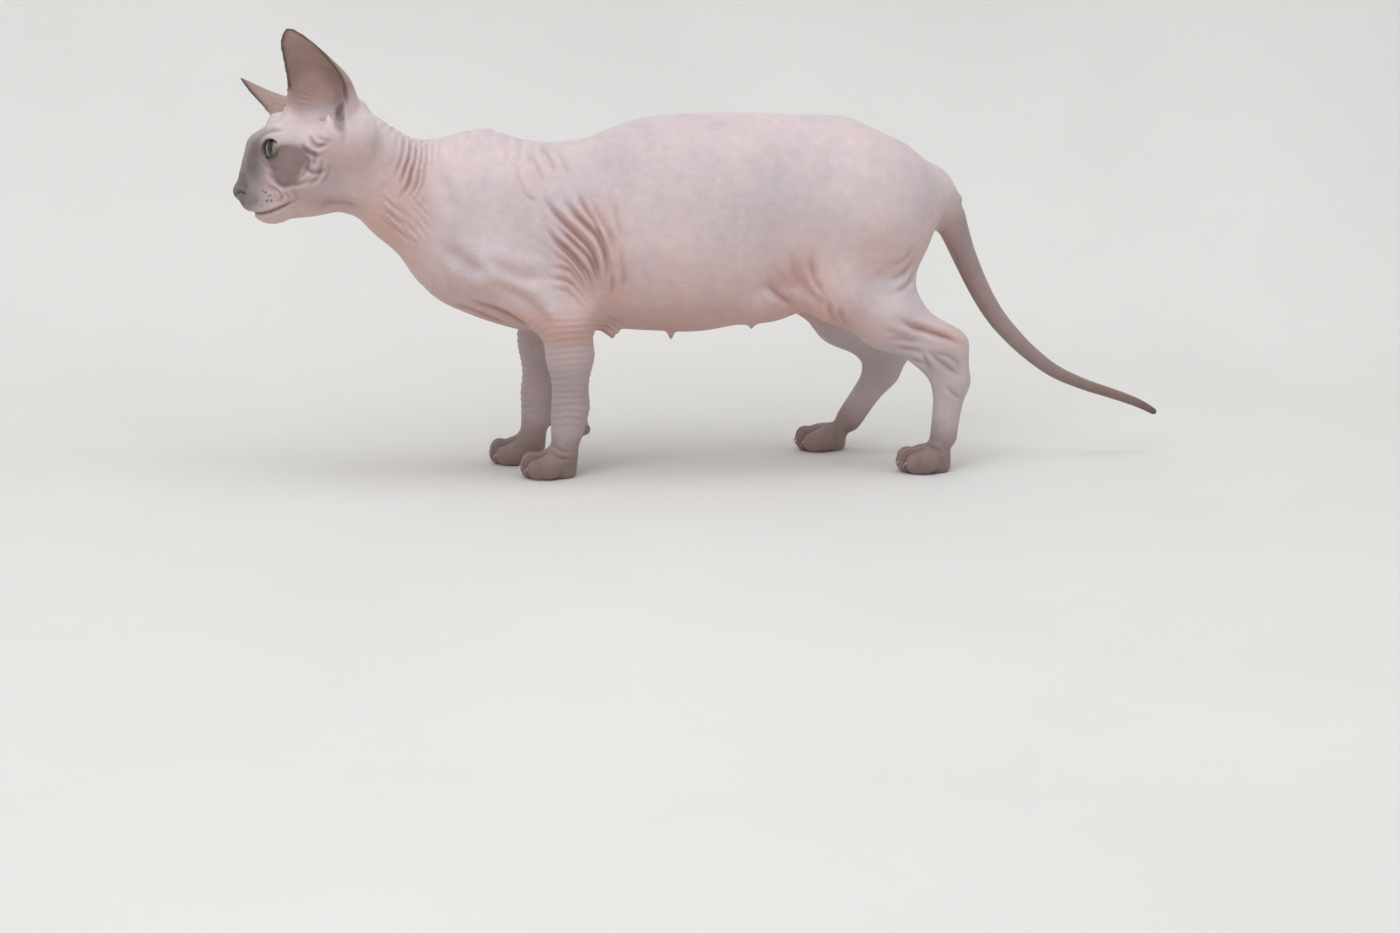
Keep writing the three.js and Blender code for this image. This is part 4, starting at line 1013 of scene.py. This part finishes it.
@dataclass
class NodeKit:
    """Small helper that adds and links shader nodes in one tree."""

    tree: bpy.types.NodeTree

    @classmethod
    def material(cls, name: str) -> "tuple[bpy.types.Material, NodeKit]":
        """Makes an empty material.

        Args:
            name: its name.

        Returns:
            The material and a kit for its nodes.
        """
        made = bpy.data.materials.new(name)
        made.use_nodes = True
        made.node_tree.nodes.clear()
        return made, cls(made.node_tree)

    def finish(self, tone: object, **inputs: object) -> None:
        """The principled shader, linked to the material's output.

        Args:
            tone: its base colour.
            inputs: its other inputs, as for any node.
        """
        shader = self.add("ShaderNodeBsdfPrincipled", Base_Color=tone, **inputs)
        self.add("ShaderNodeOutputMaterial", Surface=shader.outputs[0])

    def add(self, kind: str, **inputs: object) -> bpy.types.Node:
        """A new node with some of its inputs set or linked.

        Args:
            kind: node type name.
            inputs: socket names, with spaces as underscores, and a value or a socket each.

        Returns:
            The node.
        """
        node = self.tree.nodes.new(kind)
        for name, value in inputs.items():
            self.join(node.inputs[name.replace("_", " ")], value)
        return node

    def join(self, socket: bpy.types.NodeSocket, value: object) -> None:
        """Sets a socket or links another one to it.

        Args:
            socket: the input.
            value: a constant or an output socket.
        """
        if isinstance(value, bpy.types.NodeSocket):
            self.tree.links.new(value, socket)
        else:
            socket.default_value = value

    def math(self, kind: str, a: object, b: object = 0.0) -> bpy.types.NodeSocket:
        """A Math node.

        Args:
            kind: its operation.
            a: first value.
            b: second value.

        Returns:
            Its output.
        """
        node = self.tree.nodes.new("ShaderNodeMath")
        node.operation = kind
        self.join(node.inputs[0], a)
        self.join(node.inputs[1], b)
        return node.outputs[0]

    def blend(self, amount: object, a: object, b: object, kind: str = "MIX") -> bpy.types.NodeSocket:
        """A colour mix.

        Args:
            amount: share of the second colour.
            a: first colour.
            b: second colour.
            kind: blend type.

        Returns:
            Its output.
        """
        node = self.tree.nodes.new("ShaderNodeMix")
        node.data_type = "RGBA"
        node.blend_type = kind
        self.join(node.inputs[0], amount)
        self.join(node.inputs[6], a)
        self.join(node.inputs[7], b)
        return node.outputs[2]

    def attribute(self, name: str) -> bpy.types.NodeSocket:
        """A value stored on the mesh.

        Args:
            name: attribute name.

        Returns:
            Its value.
        """
        node = self.tree.nodes.new("ShaderNodeAttribute")
        node.attribute_name = name
        return node.outputs["Fac"]

    def noise(self, scale: float, detail: float = 3.0, rough: float = 0.55) -> bpy.types.NodeSocket:
        """Noise over the object's own coordinates.

        Args:
            scale: waves in a metre.
            detail: octaves.
            rough: how strong the fine octaves are.

        Returns:
            The noise value.
        """
        place = self.place()
        node = self.add("ShaderNodeTexNoise", Vector=place, Scale=scale, Detail=detail, Roughness=rough)
        return node.outputs["Fac"]

    def place(self) -> bpy.types.NodeSocket:
        """The object's own coordinates.

        Returns:
            Their output.
        """
        return self.tree.nodes.new("ShaderNodeTexCoord").outputs["Object"]

    def spread(
        self, value: object, low: float, high: float, out_low: float = 0.0, out_high: float = 1.0
    ) -> bpy.types.NodeSocket:
        """Maps a value from one range to another, clamped.

        Args:
            value: the input.
            low: start of its range.
            high: end of its range.
            out_low: result at low.
            out_high: result at high.

        Returns:
            The mapped value.
        """
        node = self.tree.nodes.new("ShaderNodeMapRange")
        self.join(node.inputs[0], value)
        for index, number in enumerate((low, high, out_low, out_high)):
            node.inputs[index + 1].default_value = number
        return node.outputs[0]


def colour(red: int, green: int, blue: int) -> Colour:
    """A screen colour as linear light.

    Args:
        red: 0 to 255.
        green: 0 to 255.
        blue: 0 to 255.

    Returns:
        Linear red, green, blue and alpha.
    """
    parts = [c / 255 for c in (red, green, blue)]
    return tuple(p / 12.92 if p <= 0.04045 else ((p + 0.055) / 1.055) ** 2.4 for p in parts) + (1.0,)


def grain_group() -> bpy.types.NodeTree:
    """Shader group for the fine relief of bare skin: pores, crossed wrinkles and faint down.

    Returns:
        The group, with a Wrinkle input and a Height output.
    """
    tree = bpy.data.node_groups.new("skin grain", "ShaderNodeTree")
    tree.interface.new_socket("Wrinkle", in_out="INPUT", socket_type="NodeSocketFloat").default_value = 1.0
    tree.interface.new_socket("Height", in_out="OUTPUT", socket_type="NodeSocketFloat")
    kit = NodeKit(tree)
    given = tree.nodes.new("NodeGroupInput")
    result = tree.nodes.new("NodeGroupOutput")
    place = kit.place()
    bend = kit.add("ShaderNodeTexNoise", Vector=place, Scale=70.0, Detail=2.0)
    mixed = tree.nodes.new("ShaderNodeVectorMath")
    mixed.operation = "MULTIPLY_ADD"
    kit.join(mixed.inputs[0], bend.outputs["Color"])
    mixed.inputs[1].default_value = (0.006, 0.006, 0.006)
    kit.join(mixed.inputs[2], place)
    cells = kit.add("ShaderNodeTexVoronoi", Vector=mixed.outputs[0], Scale=620.0)
    cells.feature = "DISTANCE_TO_EDGE"
    plates = kit.spread(cells.outputs["Distance"], 0.0, 0.22)
    pores = kit.add("ShaderNodeTexNoise", Vector=place, Scale=2400.0, Detail=2.0)
    rolls = kit.add("ShaderNodeTexNoise", Vector=mixed.outputs[0], Scale=210.0, Detail=4.0, Roughness=0.6)
    total = kit.math("MULTIPLY", plates, kit.math("MULTIPLY", given.outputs["Wrinkle"], 0.5))
    total = kit.math("ADD", total, kit.math("MULTIPLY", pores.outputs["Fac"], 0.22))
    total = kit.math("ADD", total, kit.math("MULTIPLY", rolls.outputs["Fac"], 0.9))
    kit.join(result.inputs["Height"], total)
    return tree


@dataclass(frozen=True)
class SkinFinish:
    """Bare skin: warm, faintly translucent, with a soft sheen, and with shade painted into its creases, its
    recesses and where it faces down.
    """

    body: Colour = colour(215, 198, 199)
    body_cool: Colour = colour(204, 192, 198)
    # Pink skin, also painted as shade on skin that faces down.
    pink_and_underside_shade: Colour = colour(208, 173, 166)
    dark: Colour = colour(103, 93, 92)
    patch: Colour = colour(128, 108, 106)
    ear: Colour = colour(156, 128, 120)
    brown: Colour = colour(134, 112, 107)
    pale: Colour = colour(228, 212, 213)
    # Painted shade in the creases; the same colour also darkens the random mottle a little.
    crease_shade: Colour = colour(168, 122, 114)
    # Dark rims and whisker dots, and painted shade in the ear canals, the nostrils and the lips' parting.
    rim_and_recess_shade: Colour = colour(66, 48, 46)

    def material(self) -> bpy.types.Material:
        """Builds the material.

        Returns:
            The material.
        """
        made, kit = NodeKit.material("bare_skin")
        cloud = kit.spread(kit.noise(26.0, 4.0), 0.35, 0.68)
        mottle = kit.spread(kit.noise(130.0, 5.0, 0.62), 0.3, 0.72)
        tone = kit.blend(cloud, self.body, self.body_cool)
        # Pink skin, with painted shade on skin that faces down.
        tone = kit.blend(kit.attribute("pink_and_underside_shade"), tone, self.pink_and_underside_shade)
        tone = kit.blend(kit.attribute("pale"), tone, self.pale)
        uneven = kit.math("MULTIPLY", kit.math("SUBTRACT", mottle, 0.5), 0.16)
        patchy = kit.math("ADD", kit.attribute("brown"), uneven)
        tone = kit.blend(kit.spread(patchy, 0.05, 1.0), tone, self.brown)
        for name, over, low, high in (
            ("dark", mottle, 0.82, 1.0),
            ("patch", mottle, 0.8, 0.98),
            ("ear", cloud, 0.8, 1.0),
        ):
            shown = kit.math("MULTIPLY", kit.attribute(name), kit.spread(over, 0.0, 1.0, low, high))
            tone = kit.blend(shown, tone, getattr(self, name))
        roots = kit.add("ShaderNodeTexVoronoi", Vector=kit.place(), Scale=290.0, Randomness=0.7)
        dots = kit.spread(roots.outputs["Distance"], 0.16, 0.34, 0.75, 0.0)
        tone = kit.blend(kit.math("MULTIPLY", kit.attribute("pad"), dots), tone, self.rim_and_recess_shade)
        # Random mottle darkens the tone a little, with the colour of the crease shade.
        tone = kit.blend(kit.spread(mottle, 0.0, 1.0, 0.16, 0.0), tone, self.crease_shade, "MULTIPLY")
        # Painted shade in the creases of the folds.
        tone = kit.blend(kit.attribute("crease_shade"), tone, self.crease_shade, "MULTIPLY")
        # Dark rims, with painted shade in the ear canals, the nostrils and the lips' parting.
        tone = kit.blend(kit.math("MULTIPLY", kit.attribute("rim_and_recess_shade"), 0.9), tone, self.rim_and_recess_shade)
        grain = kit.add("ShaderNodeGroup")
        grain.node_tree = grain_group()
        kit.join(grain.inputs["Wrinkle"], kit.spread(kit.noise(18.0, 2.0), 0.35, 0.65, 0.45, 1.1))
        bump = kit.add("ShaderNodeBump", Height=grain.outputs["Height"], Strength=0.6, Distance=0.0008)
        kit.finish(
            tone,
            Roughness=kit.spread(kit.noise(90.0, 3.0), 0.3, 0.7, 0.5, 0.64),
            Normal=bump.outputs[0],
            Subsurface_Weight=0.22,
            Subsurface_Radius=(1.0, 0.42, 0.3),
            Subsurface_Scale=0.004,
            Specular_IOR_Level=0.34,
            Sheen_Weight=0.12,
            Sheen_Roughness=0.4,
        )
        return made


@dataclass(frozen=True)
class EyeFinish:
    """A pale green iris with an upright slit, under a wet surface."""

    inner: Colour = colour(142, 136, 108)
    outer: Colour = colour(104, 97, 78)
    fibre: Colour = colour(168, 162, 132)
    edge: Colour = colour(46, 44, 34)
    white: Colour = colour(196, 182, 172)
    pupil: Colour = colour(6, 6, 7)

    def material(self) -> bpy.types.Material:
        """Builds the material, which reads the eye's own polar values from the mesh.

        Returns:
            The material.
        """
        made, kit = NodeKit.material("eye")
        ring = kit.attribute("ring")
        turn = kit.add("ShaderNodeCombineXYZ", X=kit.attribute("turn"), Y=kit.math("MULTIPLY", ring, 0.35))
        fibres = kit.add("ShaderNodeTexNoise", Vector=turn.outputs[0], Scale=9.0, Detail=4.0)
        tone = kit.blend(kit.spread(ring, 0.25, 0.95), self.inner, self.outer)
        tone = kit.blend(kit.spread(fibres.outputs["Fac"], 0.35, 0.7, 0.0, 0.45), tone, self.fibre)
        tone = kit.blend(kit.spread(ring, 0.9, 1.0, 0.0, 0.85), tone, self.edge)
        tone = kit.blend(kit.spread(ring, 1.0, 1.06), tone, self.white)
        tone = kit.blend(kit.spread(kit.attribute("slit"), 0.94, 1.06, 1.0, 0.0), tone, self.pupil)
        kit.finish(tone, Roughness=0.25, Coat_Weight=1.0, Coat_Roughness=0.02, Coat_IOR=1.45)
        return made


@dataclass(frozen=True)
class HornFinish:
    """Translucent horn of the claws, pale at the root."""

    root: Colour = colour(214, 190, 178)
    tip: Colour = colour(232, 224, 212)

    def material(self) -> bpy.types.Material:
        """Builds the material.

        Returns:
            The material.
        """
        made, kit = NodeKit.material("claw_horn")
        tone = kit.blend(kit.spread(kit.noise(900.0, 3.0), 0.35, 0.65), self.root, self.tip)
        bump = kit.add("ShaderNodeBump", Height=kit.noise(2600.0, 2.0), Strength=0.1, Distance=0.0003)
        kit.finish(
            tone, Roughness=0.3, Normal=bump.outputs[0], Subsurface_Weight=0.3, Subsurface_Scale=0.001
        )
        return made


@dataclass
class Skin:
    """The one skin that covers every fleshy part."""

    voxel: float = 1.05
    swell: float = 0.3
    lid_rim: float = 0.95
    lid_fold: float = 1.3
    rounds: int = 56
    triangles: int = 192_000
    obj: bpy.types.Object | None = None

    def flesh(self, tail: bool = True) -> list[str]:
        """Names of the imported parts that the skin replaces.

        Args:
            tail: whether the tail's parts are among them.

        Returns:
            Node names.
        """
        names = sorted(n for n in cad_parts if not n.startswith("eye_"))
        return [n for n in names if tail or not n.startswith("tail_")]

    def build(self) -> bpy.types.Object:
        """Fuses, smooths, sculpts and colours the skin.

        Returns:
            The skin.
        """
        self.fuse()
        self.round_off()
        self.relax()
        self.widen_ear()
        self.sculpt()
        self.lighten()
        self.paint()
        assert self.obj is not None
        self.obj.data.materials.clear()
        self.obj.data.materials.append(SkinFinish().material())
        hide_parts(*self.flesh())
        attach(self.obj, "root")
        return self.obj

    def fuse(self) -> None:
        """Joins swollen copies of the parts with the finer forms, and remeshes them as one."""
        copies = []
        for name in self.flesh(tail=False):
            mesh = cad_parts[name].data.copy()
            places = gather(mesh.vertices, "co")
            merged, inverse = np.unique(np.round(places, 7), axis=0, return_inverse=True)
            normals = np.zeros((len(merged), 3))
            inverse = inverse.reshape(-1)
            for poly in mesh.polygons:
                for v in poly.vertices:
                    normals[inverse[v]] += np.array(poly.normal) * poly.area
            normals /= np.maximum(np.linalg.norm(normals, axis=1, keepdims=True), 1e-12)
            places = places + normals[inverse] * self.swell * MM
            mesh.vertices.foreach_set("co", places.ravel())
            mesh.update()
            copy = bpy.data.objects.new("flesh_" + name, mesh)
            bpy.context.scene.collection.objects.link(copy)
            copies.append(copy)
        copies.append(self.tail())
        for side in SIDES:
            line = lid_curve(side, EYE_RADIUS + 0.75) + SHIFT
            copies.append(tube("lid_rim", line * MM, self.lid_rim * MM, closed=True))
            upper = line[4:33] + np.array([-0.3, 0.7 * side, 1.5])
            copies.append(tube("lid_fold", upper * MM, self.lid_fold * MM, closed=False))
        copies += [pebble(spot, size) for spot, size in BUMPS]
        self.obj = joined(copies, "skin")
        self.obj.data.remesh_voxel_size = self.voxel * MM
        self.obj.data.remesh_voxel_adaptivity = 0.0
        bpy.ops.object.voxel_remesh()
        log.info("fused skin: %d vertices", len(self.obj.data.vertices))

    def tail(self) -> bpy.types.Object:
        """The whole tail as one smooth taper with a rounded tip.

        Returns:
            The tail.
        """
        knots = np.array(TAIL)
        rows = list(spline(knots, 9)[:-1])
        ahead = knots[-1] - knots[-2]
        ahead = ahead / np.linalg.norm(ahead[:2])
        for turn in np.linspace(0.0, math.pi / 2, 7):
            tip = knots[-1] + ahead * knots[-1][2] * math.sin(turn)
            tip[2] = max(knots[-1][2] * math.cos(turn), 0.25)
            rows.append(tip)
        sides = 28
        verts = []
        for i, (x, z, radius) in enumerate(rows):
            along = (rows[min(i + 1, len(rows) - 1)] - rows[max(i - 1, 0)])[:2]
            along = along / np.linalg.norm(along)
            for a in 2 * math.pi * np.arange(sides) / sides:
                out = radius * math.cos(a)
                verts.append((x - along[1] * out, math.sin(a) * radius, z + along[0] * out))
        return loft("tail", (np.array(verts) + SHIFT) * MM, sides)

    def round_off(self) -> None:
        """Moves the skin off the parts' flat facets onto the curved surface that they stand for."""
        skin = self.read()
        move = Facets.of(self.flesh(tail=False)).lift((skin.points + SHIFT) * MM) / MM
        far = np.linalg.norm(move, axis=1, keepdims=True)
        most = 1.6
        move *= np.minimum(1.0, most / np.maximum(far, 1e-9))
        body = (smooth(182, 172, skin.x) + (skin.z < 96) * (np.abs(skin.y) > 24))[:, None].clip(0, 1)
        calm = smooth(1.0, 4.0, lid_distance(skin))[:, None]
        self.write(skin.points + move * calm * body - skin.normals * (self.swell - 0.12) * calm * body)

    def read(self) -> Surface:
        """The skin's points and normals in the design frame.

        Returns:
            The surface.
        """
        mesh = self.obj.data
        mesh.update()
        return Surface(gather(mesh.vertices, "co") / MM - SHIFT, gather(mesh.vertex_normals, "vector"))

    def write(self, points: np.ndarray) -> None:
        """Puts points of the design frame back into the skin.

        Args:
            points: rows of x, y, z in millimetres.
        """
        self.obj.data.vertices.foreach_set("co", ((points + SHIFT) * MM).ravel())
        self.obj.data.update()

    def relax(self) -> None:
        """Smooths the facets away, gently where the form is fine."""
        skin = self.read()
        points = skin.points.copy()
        ends = gather(self.obj.data.edges, "vertices", 2, np.int32)
        count = len(points)
        degree = np.bincount(ends.ravel(), minlength=count).astype(float)[:, None]
        strength = self.softness(skin)[:, None] * 0.5
        sole = 0.9
        floor = points[:, 2] < sole
        for _ in range(self.rounds):
            total = np.empty_like(points)
            for axis in range(3):
                values = points[:, axis]
                total[:, axis] = np.bincount(ends[:, 0], values[ends[:, 1]], count) + np.bincount(
                    ends[:, 1], values[ends[:, 0]], count
                )
            points += (total / degree - points) * strength
        points[floor, 2] = np.clip(points[floor, 2], 0.0, sole)
        self.write(points)

    def softness(self, skin: Surface) -> np.ndarray:
        """How strongly each point may be smoothed.

        Args:
            skin: points and normals.

        Returns:
            0 to 1 for each point.
        """
        x, side, z = skin.x, np.abs(skin.y), skin.z
        small = [blob(skin, (tx, ty, tz - 4), (8, 8, 9)) for tx, ty, tz, _ in TEATS]
        small.append(blob(skin, (-84.6, 28.5, 33.6), (9, 9, 9)))
        soft = np.full(len(x), 1.0)
        # Where and how soft: legs, head, face, ears, paws, tail, then teats and the knob behind the wrist.
        for share, level in (
            (smooth(112, 92, z) * (side > 8), 0.34),
            (smooth(-216, -246, x), 0.2),
            (smooth(-276, -292, x) * smooth(252, 240, z), 0.1),
            (smooth(250, 262, z) * (x < -225) * (side > 20), 0.12),
            (smooth(30, 20, z) * (x < 190), 0.07),
            (smooth(176, 188, x) * (side < 24), 0.12),
            (np.maximum.reduce(small), 0.2),
        ):
            soft = soft * (1 - share) + level * share
        hollow = blob(skin, (-254, 40, 250), (20, 18, 17))
        dock = blob(skin, (174, 0, 196), (17, 18, 17))
        soft = np.maximum.reduce([soft, 0.95 * hollow, dock])
        return soft * np.where(lid_distance(skin) < 3.0, 0.3, 1.0)

    def widen_ear(self) -> None:
        """Gives the near ear the broad, blunt end that it has."""
        skin = self.read()
        heights, middles = (262.0, 273.0, 287.0, 300.0, 308.0), (-264.0, -265.0, -269.5, -275.7, -279.5)
        axis = np.interp(skin.z, heights, middles)
        off = skin.x - axis
        here = band(262, 325, 20, skin.z) * (skin.y < -8)
        points = skin.points.copy()
        points[:, 0] += here * np.where(off > 0, 0.17 * off + 0.5 * smooth(0, 3, off), 0.06 * off)
        self.write(points)

    def sculpt(self) -> None:
        """Moves the skin into its folds."""
        skin = self.read()
        height, _ = all_folds(skin)
        sole = smooth(0.0, 5.0, skin.z)
        near_lid = smooth(1.5, 5.0, lid_distance(skin))
        points = skin.points + skin.normals * (height * sole * near_lid)[:, None]
        points[:, 2] = np.maximum(points[:, 2], 0.0)
        self.write(points)

    def lighten(self) -> None:
        """Brings the skin under its limit of triangles."""
        mesh = self.obj.data
        faces = sum(len(p.vertices) - 2 for p in mesh.polygons)
        active(self.obj)
        cut = self.obj.modifiers.new("fewer", "DECIMATE")
        cut.ratio = min(1.0, self.triangles / faces)
        bpy.ops.object.modifier_apply(modifier=cut.name)
        bpy.ops.object.shade_smooth()
        log.info("skin: %d triangles", len(self.obj.data.polygons))

    def paint(self) -> None:
        """Stores the masks that the material reads."""
        skin = self.read()
        # Painted shade in the creases of the folds.
        crease_shade = np.clip(all_folds(skin)[1], 0.0, 0.75)
        store(self.obj.data, markings(skin) | {"crease_shade": crease_shade})


@dataclass
class Eye:
    """One eyeball, with a slight bulge where the clear front is."""

    name: str
    side: int
    segments: int = 64
    rings: int = 44
    iris: float = 0.80

    def build(self, finish: bpy.types.Material) -> bpy.types.Object:
        """Makes the eye in place.

        Args:
            finish: the eye's material.

        Returns:
            The eye.
        """
        bpy.ops.mesh.primitive_uv_sphere_add(segments=self.segments, ring_count=self.rings, radius=1.0)
        obj = bpy.context.object
        obj.name = f"eyeball_{self.name}"
        obj.data.name = obj.name
        unit = gather(obj.data.vertices, "co")
        polar = np.arccos(np.clip(unit[:, 2], -1, 1))
        bulge = 1.0 + 0.045 * (1 - smooth(0.0, 0.95, polar))
        basis = np.array(eye_basis(self.side))
        places = (unit * (bulge * (EYE_RADIUS - 0.05))[:, None]) @ basis[:3, :3].T + basis[:3, 3]
        obj.data.vertices.foreach_set("co", ((places + SHIFT) * MM).ravel())
        turn = np.arctan2(unit[:, 1], unit[:, 0])
        # The slit stands along the head's own upright, which the slanted opening is turned from.
        u = unit[:, 0] * math.cos(EYE_SLANT) - unit[:, 1] * math.sin(EYE_SLANT)
        v = unit[:, 0] * math.sin(EYE_SLANT) + unit[:, 1] * math.cos(EYE_SLANT)
        slit = np.hypot((u - 0.16) / 0.25, v / 0.7) + 4.0 * (unit[:, 2] < 0)
        store(obj.data, {"ring": polar / self.iris, "slit": slit, "turn": turn * 6.0})
        bpy.ops.object.shade_smooth()
        obj.data.materials.append(finish)
        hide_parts(f"eye_{self.name}")
        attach(obj, "root")
        return obj


@dataclass
class Claws:
    """The claw tips that show at the front of each toe."""

    length: float = 5.2
    radius: float = 1.15

    def build(self) -> bpy.types.Object:
        """Makes all claws as one piece.

        Returns:
            The claws.
        """
        made = []
        for paw in PAWS:
            for place in (-1.0, -0.34, 0.34, 1.0):
                back = 4.5 if abs(place) > 0.5 else 0.0
                root = (paw.x - paw.length * 0.62 + back - 6.2, paw.y + place * paw.width * 0.66, 8.6)
                made.append(self.claw(root))
        claws = joined(made, "claws")
        bpy.ops.object.shade_smooth()
        claws.data.materials.append(HornFinish().material())
        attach(claws, "root")
        return claws

    def claw(self, root: Point) -> bpy.types.Object:
        """One hooked, flattened claw.

        Args:
            root: where it leaves the toe, in the design frame.

        Returns:
            The claw.
        """
        rows = []
        steps, sides, hook = 9, 10, 1.15
        for t in np.linspace(0.0, 1.0, steps):
            sine, cosine = math.sin(hook * t), math.cos(hook * t)
            centre = np.array(root) + np.array([-sine * self.length * 0.9, 0.0, -(1 - cosine) * self.length])
            size = self.radius * (1 - t) ** 0.8 + 0.05
            for a in 2 * math.pi * np.arange(sides) / sides:
                high, wide = math.sin(a) * size, 0.62 * math.cos(a) * size
                rows.append(centre + np.array([sine * high, wide, cosine * high]))
        return loft("claw", (np.array(rows) + SHIFT) * MM, sides)


@dataclass
class Studio:
    """Pale floor and backdrop, soft light and the camera."""

    azimuth: float = -8.0
    elevation: float = 11.2
    distance: float = 1.627
    lens: float = 58.0
    aim: Point = (-0.00969, -0.00005, -0.0009)

    def build(self) -> None:
        """Makes everything round the cat."""
        self.floor()
        self.lights()
        self.camera()

    def floor(self) -> None:
        """A floor that sweeps up into a backdrop close behind."""
        start, radius = 0.2, 0.5
        rows = [(-8.0, 0.0), (start, 0.0)]
        for a in np.linspace(0.1, math.pi / 2, 16):
            rows.append((start + math.sin(a) * radius, radius - math.cos(a) * radius))
        rows.append((start + radius, 6.0))
        verts = [(x, y, z) for y, z in rows for x in (-9.0, 9.0)]
        faces = [(2 * i, 2 * i + 1, 2 * i + 3, 2 * i + 2) for i in range(len(rows) - 1)]
        obj = mesh_object("studio_floor", np.array(verts), faces)
        active(obj)
        bpy.ops.object.shade_smooth()
        made, kit = NodeKit.material("studio_paper")
        cloud = kit.spread(kit.noise(2.4, 6.0, 0.6), 0.3, 0.7)
        tone = kit.blend(cloud, colour(219, 218, 216), colour(213, 212, 210))
        kit.finish(tone, Roughness=0.85, Specular_IOR_Level=0.15)
        obj.data.materials.append(made)

    def lamp(self, name: str, place: Point, size: float, power: float) -> None:
        """A square soft light that points at the cat.

        Args:
            name: light name.
            place: where it is, in metres.
            size: its side in metres.
            power: watts.
        """
        data = bpy.data.lights.new(name, "AREA")
        data.shape = "SQUARE"
        data.size = size
        data.energy = power
        obj = bpy.data.objects.new(name, data)
        obj.location = place
        obj.rotation_euler = (Vector((0, 0, 0.15)) - Vector(place)).to_track_quat("-Z", "Y").to_euler()
        bpy.context.scene.collection.objects.link(obj)

    def lights(self) -> None:
        """Soft light from above and the front, and a bright room."""
        self.lamp("key", (-1.1, -1.9, 1.9), 1.6, 24.0)
        self.lamp("top", (0.1, -0.3, 2.6), 2.0, 26.0)
        self.lamp("fill", (2.2, -1.6, 1.0), 1.6, 4.0)
        world = bpy.data.worlds.new("room")
        world.use_nodes = True
        sky = world.node_tree.nodes["Background"]
        sky.inputs["Color"].default_value = (0.93, 0.95, 0.96, 1.0)
        sky.inputs["Strength"].default_value = 0.62
        bpy.context.scene.world = world

    def camera(self) -> None:
        """The camera, level with the photograph's view from the cat's left."""
        a, e = math.radians(self.azimuth), math.radians(self.elevation)
        back = Vector((math.sin(a) * math.cos(e), -math.cos(a) * math.cos(e), math.sin(e)))
        data = bpy.data.cameras.new("camera")
        data.lens = self.lens
        data.sensor_width = 36.0
        obj = bpy.data.objects.new("camera", data)
        obj.location = Vector(self.aim) + back * self.distance
        obj.rotation_euler = (-back).to_track_quat("-Z", "Y").to_euler()
        bpy.context.scene.collection.objects.link(obj)
        bpy.context.scene.camera = obj


def main() -> None:
    """Builds the scene in order."""
    logging.basicConfig(level=logging.INFO, format="%(message)s")
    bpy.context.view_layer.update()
    bpy.ops.object.select_all(action="DESELECT")
    Studio().build()
    log.info("studio ready")
    Skin().build()
    log.info("skin ready")
    wet = EyeFinish().material()
    for name, side in zip(("left", "right"), SIDES):
        Eye(name, side).build(wet)
        log.info("eye %s ready", name)
    Claws().build()
    log.info("claws ready")
    bpy.context.scene.view_settings.view_transform = "Standard"


if __name__ == "__main__":
    main()
